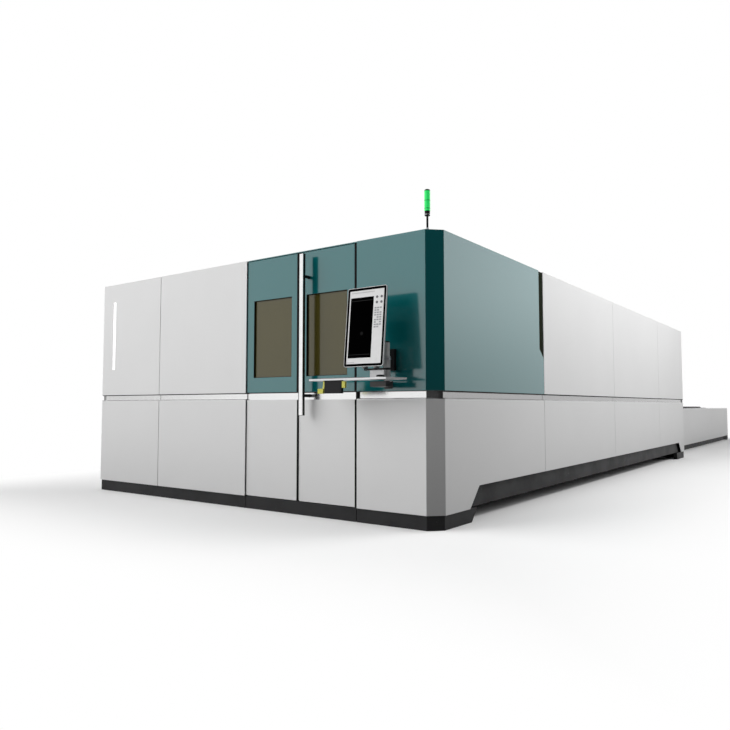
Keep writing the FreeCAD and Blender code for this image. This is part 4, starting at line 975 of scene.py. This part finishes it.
# ---- rear wall ----
PASS_X, PASS_LOW, PASS_TOP = 1.612, 0.38, 1.11     # the pallet passage
WALL = REAR_Y - 0.001                              # where pieces on the wall start

trim = Shape().block((PASS_X - 0.006, WALL, PASS_LOW), (PASS_X + 0.022, REAR_Y + 0.01,
                                                        PASS_TOP + 0.016)).mirrored()
trim.block((-PASS_X + 0.006, WALL, PASS_TOP + 0.016),
           (PASS_X - 0.006, REAR_Y + 0.01, PASS_TOP + 0.044))
fitted("passage_trim", trim, RUBBER, edge=0.002)
boxed("brush_rail", ALU,
      (-PASS_X + 0.008, PASS_X - 0.008, WALL, REAR_Y + 0.014, PASS_TOP - 0.018,
       PASS_TOP + 0.016), edge=0.002)
tuft = Shape().slab([(-0.0031, -0.142), (0.0031, -0.142), (0.0036, 0.0), (-0.0036, 0.0)],
                    REAR_Y + 0.003, REAR_Y + 0.009, "y")
fitted_row("passage_brush", tuft, (-PASS_X + 0.014, 0, PASS_TOP - 0.016), (0.0076, 0, 0), 421,
           BLACK)

# two louvred grilles with their frames
GRILLE_LOW, GRILLE_TOP, RIM = 1.36, 1.92, 0.03
for side, x0, x1 in (("left", -1.66, -0.94), ("right", 0.94, 1.66)):
    boxed("grille_frame_" + side, LIGHT,
          *rim(x0 - RIM, x1 + RIM, WALL, REAR_Y + 0.024, GRILLE_LOW - RIM, GRILLE_TOP + RIM, RIM),
          edge=0.003)
    boxed("grille_back_" + side, BLACK,
          (x0, x1, WALL, REAR_Y + 0.002, GRILLE_LOW, GRILLE_TOP))
    blade = Shape().slab([(REAR_Y + 0.001, 0.02), (REAR_Y + 0.02, 0.0), (REAR_Y + 0.022, 0.0015),
                          (REAR_Y + 0.003, 0.0225)], x0, x1)
    fitted_row("grille_blades_" + side, blade, (0, 0, GRILLE_LOW + 0.004), (0, 0, 0.0268), 20,
               LIGHT)

# extraction spigots, supply box with its glands and locks, rear screws
SPIGOT_X, SPIGOT_Z = (-0.34, 0.34), 1.78
lathed("duct_spigots", ZINC,
       [(0.155, 0), (0.155, 0.006), (0.112, 0.006), (0.112, 0.07), (0.117, 0.074),
        (0.117, 0.082), (0.112, 0.086), (0.112, 0.12), (0.104, 0.12), (0.104, 0.012)],
       *spots(SPIGOT_X, WALL, SPIGOT_Z), along="y", sides=48)
heads = [(x + 0.136 * c, REAR_Y + 0.0045, SPIGOT_Z + 0.136 * s)
         for x in SPIGOT_X for c, s in circle(8)]
fitted_at("duct_bolts", hexagon(0.014, 0.007).rolled(-90), heads, ZINC)
boxed("supply_box", FRAME_GREY, (1.78, 2.1, WALL, REAR_Y + 0.14, 1.3, 1.74),
      (1.775, 2.105, REAR_Y + 0.14, REAR_Y + 0.158, 1.295, 1.745), edge=0.004)
lathed("supply_glands", BLACK,
       [(0.012, 0), (0.017, 0.004), (0.017, 0.018), (0.021, 0.02), (0.021, 0.03)],
       *spots((1.83, 1.89, 1.95, 2.01), REAR_Y + 0.075, 1.271), sides=20)
lathed("supply_locks", ZINC, [(0.013, 0), (0.013, 0.004), (0.008, 0.006)],
       *spots(1.805, REAR_Y + 0.1575, (1.4, 1.64)), along="y", sides=20)
wall_y = REAR_Y - 0.0004
heads = spots(between(-2.13, 2.13, 16), wall_y, (1.165, 2.265))
heads += spots((-2.145, -1.66, 1.66, 2.145), wall_y, between(0.15, 1.05, 5))
heads += spots(between(-1.5, 1.5, 9), wall_y, (0.145, 0.35))
fitted_at("rear_screws", screw_head(0.0075, 0.0016, 0.005, 0.003, "y"), heads, ZINC)


# ---- roof ----
SHEET = ROOF_Z - 0.0005             # where pieces on the roof start
strips, heads = Shape(), []
for y in (-6.06, -3.607, -1.127):
    strips.slab([(y - 0.034, ROOF_Z - 0.001), (y + 0.034, ROOF_Z - 0.001),
                 (y + 0.03, ROOF_Z + 0.004), (y - 0.03, ROOF_Z + 0.004)], -2.165, 2.165)
    heads += spots(between(-2.1, 2.1, 15), (y - 0.019, y + 0.019), ROOF_Z + 0.0035)
fitted("roof_strips", strips, WHITE)
heads += spots(between(-2.04, 2.04, 13), (-7.99, 0.69), ROOF_Z - 0.0003)
fitted_at("roof_screws", screw_head(0.008, 0.0018, 0.005, 0.0035), heads, ZINC)


def lifting_eye(x, y):
    """A collar and a round eye that stands along the machine."""
    eye = Shape().turned([(0.034, 0), (0.034, 0.008), (0.016, 0.014), (0.013, 0.026)],
                         (x, y, SHEET), "z", 24)
    rings = []
    for out_y, out_z in circle(24):
        rings.append([])
        for c, s in circle(10):
            out = 0.03 + 0.0085 * c
            point = (x + 0.0085 * s, y + out_y * out, ROOF_Z + 0.056 + out_z * out)
            rings[-1].append(eye.bm.verts.new(point))
    for ring, after in zip(rings, rings[1:] + rings[:1]):
        for j in range(10):
            i = (j + 1) % 10
            eye.bm.faces.new((ring[j], ring[i], after[i], after[j]))
    return eye.mirrored()


for place, y in (("front", -7.3), ("middle", -3.2), ("back", -0.2)):
    fitted("lifting_eyes_" + place, lifting_eye(1.7, y), ZINC)

# capped extraction stacks, the lead duct and a service hatch
lathed("roof_stacks", ZINC,
       [(0.205, 0), (0.205, 0.006), (0.15, 0.006), (0.15, 0.11), (0.185, 0.112), (0.185, 0.15),
        (0.06, 0.178)], *spots(-0.95, (-5.0, -2.4), SHEET), sides=48)
boxed("lead_duct", LIGHT, (-1.98, -1.86, -7.6, 0.4, SHEET, ROOF_Z + 0.055),
      (-1.985, -1.855, -7.61, 0.41, ROOF_Z + 0.055, ROOF_Z + 0.062), edge=0.002)
clip = Shape().block((-1.99, -0.015, SHEET), (-1.85, 0.015, ROOF_Z + 0.0645))
fitted_row("duct_clips", clip, (0, -7.4, 0), (0, 0.65, 0), 12, ZINC)
boxed("roof_hatch", LIGHT, (0.35, 1.45, -4.55, -3.85, SHEET, ROOF_Z + 0.006),
      edge=0.003)
grips = Shape()
for y in (-4.45, -3.95):
    for x in (0.82, 0.98):
        grips.drum(0.006, (x, y, ROOF_Z + 0.005), 0.036, "z", 14)
    grips.drum(0.006, (0.812, y, ROOF_Z + 0.041), 0.176, "x", 14)
fitted("hatch_grips", grips, BLACK)
heads = spots(between(0.38, 1.42, 6), (-4.53, -3.87), ROOF_Z + 0.0055)
fitted_at("hatch_screws", screw_head(0.007, 0.0018, 0.0045, 0.0032), heads, ZINC)


# ---- exchange table ----
heads = spots((-1.8, -1.62, 1.62, 1.8), between(0.9, 8.4, 20), TABLE_TOP - 0.0003)
heads += spots(between(-1.45, 1.45, 8), 8.44, TABLE_TOP - 0.0003)
fitted_at("table_screws", screw_head(0.0075, 0.0016, 0.0048, 0.003), heads, ZINC)
lathed("stop_buffers", RUBBER, [(0.024, 0), (0.024, 0.02), (0.018, 0.03)],
       *spots((1.475, 1.535), 7.9105, 0.8), along="y", sides=24, mirror=True)

# the drive at the table's far end: a shaft with its wheels, and a finned gearbox on its seat
SHAFT_Y, SHAFT_Z, GEAR_Z = 8.22, 0.3, 0.305
shaft = Shape().drum(0.022, (-1.585, SHAFT_Y, SHAFT_Z), 3.17, "x", 24)
for x in (-1.5, 1.46):
    shaft.turned([(0.06, 0), (0.072, 0.004), (0.072, 0.016), (0.06, 0.02), (0.034, 0.02),
                  (0.034, 0.04)], (x, SHAFT_Y, SHAFT_Z), "x", 28)
fitted("drive_shaft", shaft, GUIDE_STEEL)
gear = Shape().block((-0.2, SHAFT_Y - 0.1, 0.215), (0.1, SHAFT_Y + 0.1, 0.4))
gear.drum(0.07, (0.1, SHAFT_Y, GEAR_Z), 0.26, "x", 28)
fitted("table_gearbox", gear, FRAME_GREY, edge=0.006)
fin = Shape().drum(0.0755, (0, SHAFT_Y, GEAR_Z), 0.004, "x", 28)
fitted_row("gearbox_fins", fin, (0.125, 0, 0), (0.0125, 0, 0), 16, FRAME_GREY)
boxed("gearbox_seat", FRAME_GREY, (-0.16, 0.06, 8.13, 8.388, 0.178, 0.216), edge=0.003)
feet = between(0.8, 8.36, 6)
boxed("foot_plates", FRAME_GREY,
      *((1.575, 1.685, y - 0.075, y + 0.075, 0.0, 0.01) for y in feet), edge=0.002, mirror=True)
heads = [spot for y in feet for spot in spots((-1.595, 1.595), (y - 0.06, y + 0.06), 0.0098)]
fitted_at("foot_bolts", hexagon(0.019, 0.012), heads, ZINC)


# ---- camera ----
eye = linked("camera", bpy.data.cameras.new("camera"))
bpy.context.scene.camera = eye
eye.location = (4.6928, -12.5615, 0.9422)
eye.rotation_euler = (math.radians(93.406), 0.0, math.radians(36.158))
eye.data.lens, eye.data.sensor_width = 32.892, 36.0
eye.data.shift_x, eye.data.shift_y = 0.00035, 0.00116
eye.data.clip_start, eye.data.clip_end = 0.1, 400.0


# ---- light ----
def sun(name, towards, strength, softness):
    """A broad soft lamp far away, shining from the direction given."""
    lamp = bpy.data.lights.new(name, "SUN")
    lamp.energy, lamp.angle = strength, math.radians(softness)
    holder = linked(name, lamp)
    holder.rotation_mode = "QUATERNION"
    holder.rotation_quaternion = Vector(towards).to_track_quat("Z", "Y")
    holder.visible_glossy = False


def lamp_strip(name, place, towards, long, wide, power):
    """A long soft panel beside the machine, which the paint doesn't mirror."""
    lamp = bpy.data.lights.new(name, "AREA")
    lamp.shape, lamp.size, lamp.size_y, lamp.energy = "RECTANGLE", wide, long, power
    holder = linked(name, lamp)
    holder.location = place
    holder.rotation_euler = (0.0, math.atan2(-towards[0], -towards[1]), 0.0)
    holder.visible_glossy = holder.visible_camera = False


sun("lamp_front", (-0.8, -0.66, 0.36), 2.95, 60)
sun("lamp_back", (0.5, 0.8, 0.4), 1.3, 30)
lamp_strip("lamp_side", (SIDE_X + 2.3, -3.2, ROOF_Z + 1.0), (-0.788, -0.616), 8.4, 0.8, 85)

WHITE_LIGHT = (1.0, 1.0, 1.0, 1.0)
DARK_SIDE = (0.865, -0.5)          # the studio is unlit towards the right front
BRIGHT_SIDE = (0.5, 0.86)
GREY_SIDE = (-0.9, -0.436)         # what the left end of the waist band mirrors


def towards(x, y, direction):
    return x * direction[0] + y * direction[1]


def studio_sky():
    """White behind everything; the light it throws is dim, and dimmest to the right front."""
    world = bpy.data.worlds.new("studio")
    bpy.context.scene.world = world
    world.use_nodes = True
    g = Graph(world.node_tree)
    g.tree.nodes.clear()
    way = g.node("SeparateXYZ", {0: g.node("TexCoord")["Generated"]})
    x, y, z = way["X"], way["Y"], way["Z"]
    dark = towards(x, y, DARK_SIDE).step(0.25, 0.8)
    bright = towards(x, y, BRIGHT_SIDE).step(0.6, 0.95)
    left = towards(x, y, GREY_SIDE).step(0.945, 0.995)
    ray = g.node("LightPath")
    seen = (ray["Is Camera Ray"] + ray["Is Transmission Ray"]).clip()
    glossy = ray["Is Glossy Ray"]
    mirrored = 1.0 - dark * 0.98 - left * 0.48 + bright * (z.step(0.0, 0.19) * 0.56 - 0.04)
    thrown = 0.34 - dark * 0.33 + z.step(0.0, 1.0) * 0.18
    level = seen + glossy * (1.0 - seen) * mirrored + (1.0 - seen) * (1.0 - glossy) * thrown
    sky = g.node("Background", {"Color": WHITE_LIGHT, "Strength": level})
    g.node("OutputWorld", {"Surface": sky["Background"]})


def studio_floor():
    """Pale floor that takes the machine's soft shadow and turns plain white further out."""
    f = Finish("floor_white")
    across = f.x.size() - SIDE_X
    along = (f.y - (FRONT_Y + TABLE_END) / 2).size() - (TABLE_END - FRONT_Y) / 2
    away = across.most(along)
    ray = f.node("LightPath")
    near = f.node("BsdfDiffuse", {
        "Color": f.mix(grey(0.93), grey(0.95), f.grain(0.8, 3.0))})["BSDF"]
    unlit = towards(f.x - CORNER_X, f.y - FRONT_Y, DARK_SIDE).step(0.0, 3.0)
    beside = (f.x - SIDE_X).step(0.2, 2.0)
    bounced = f.node("Emission", {
        "Color": WHITE_LIGHT,
        "Strength": away.step(0.2, 5.0) * (0.75 - unlit * 0.6) * (1.0 - beside * 0.4)})["Emission"]
    far = f.node("Emission", {
        "Color": WHITE_LIGHT, "Strength": 1.0 - ray["Is Glossy Ray"] * unlit * 0.97})["Emission"]
    shown = f.node("MixShader", {0: away.step(0.2, 2.2), 1: near, 2: far})["Shader"]
    both = f.node("MixShader", {0: ray["Is Diffuse Ray"], 1: shown, 2: bounced})
    f.node("OutputMaterial", {"Surface": both["Shader"]})
    mesh = bpy.data.meshes.new("floor")
    half = 120.0
    mesh.from_pydata([(-half, -half, 0), (half, -half, 0), (half, half, 0), (-half, half, 0)], [],
                     [(0, 1, 2, 3)])
    mesh.materials.append(f.mat)
    linked("floor", mesh)


studio_sky()
studio_floor()

look = bpy.context.scene.view_settings
look.view_transform = "Standard"
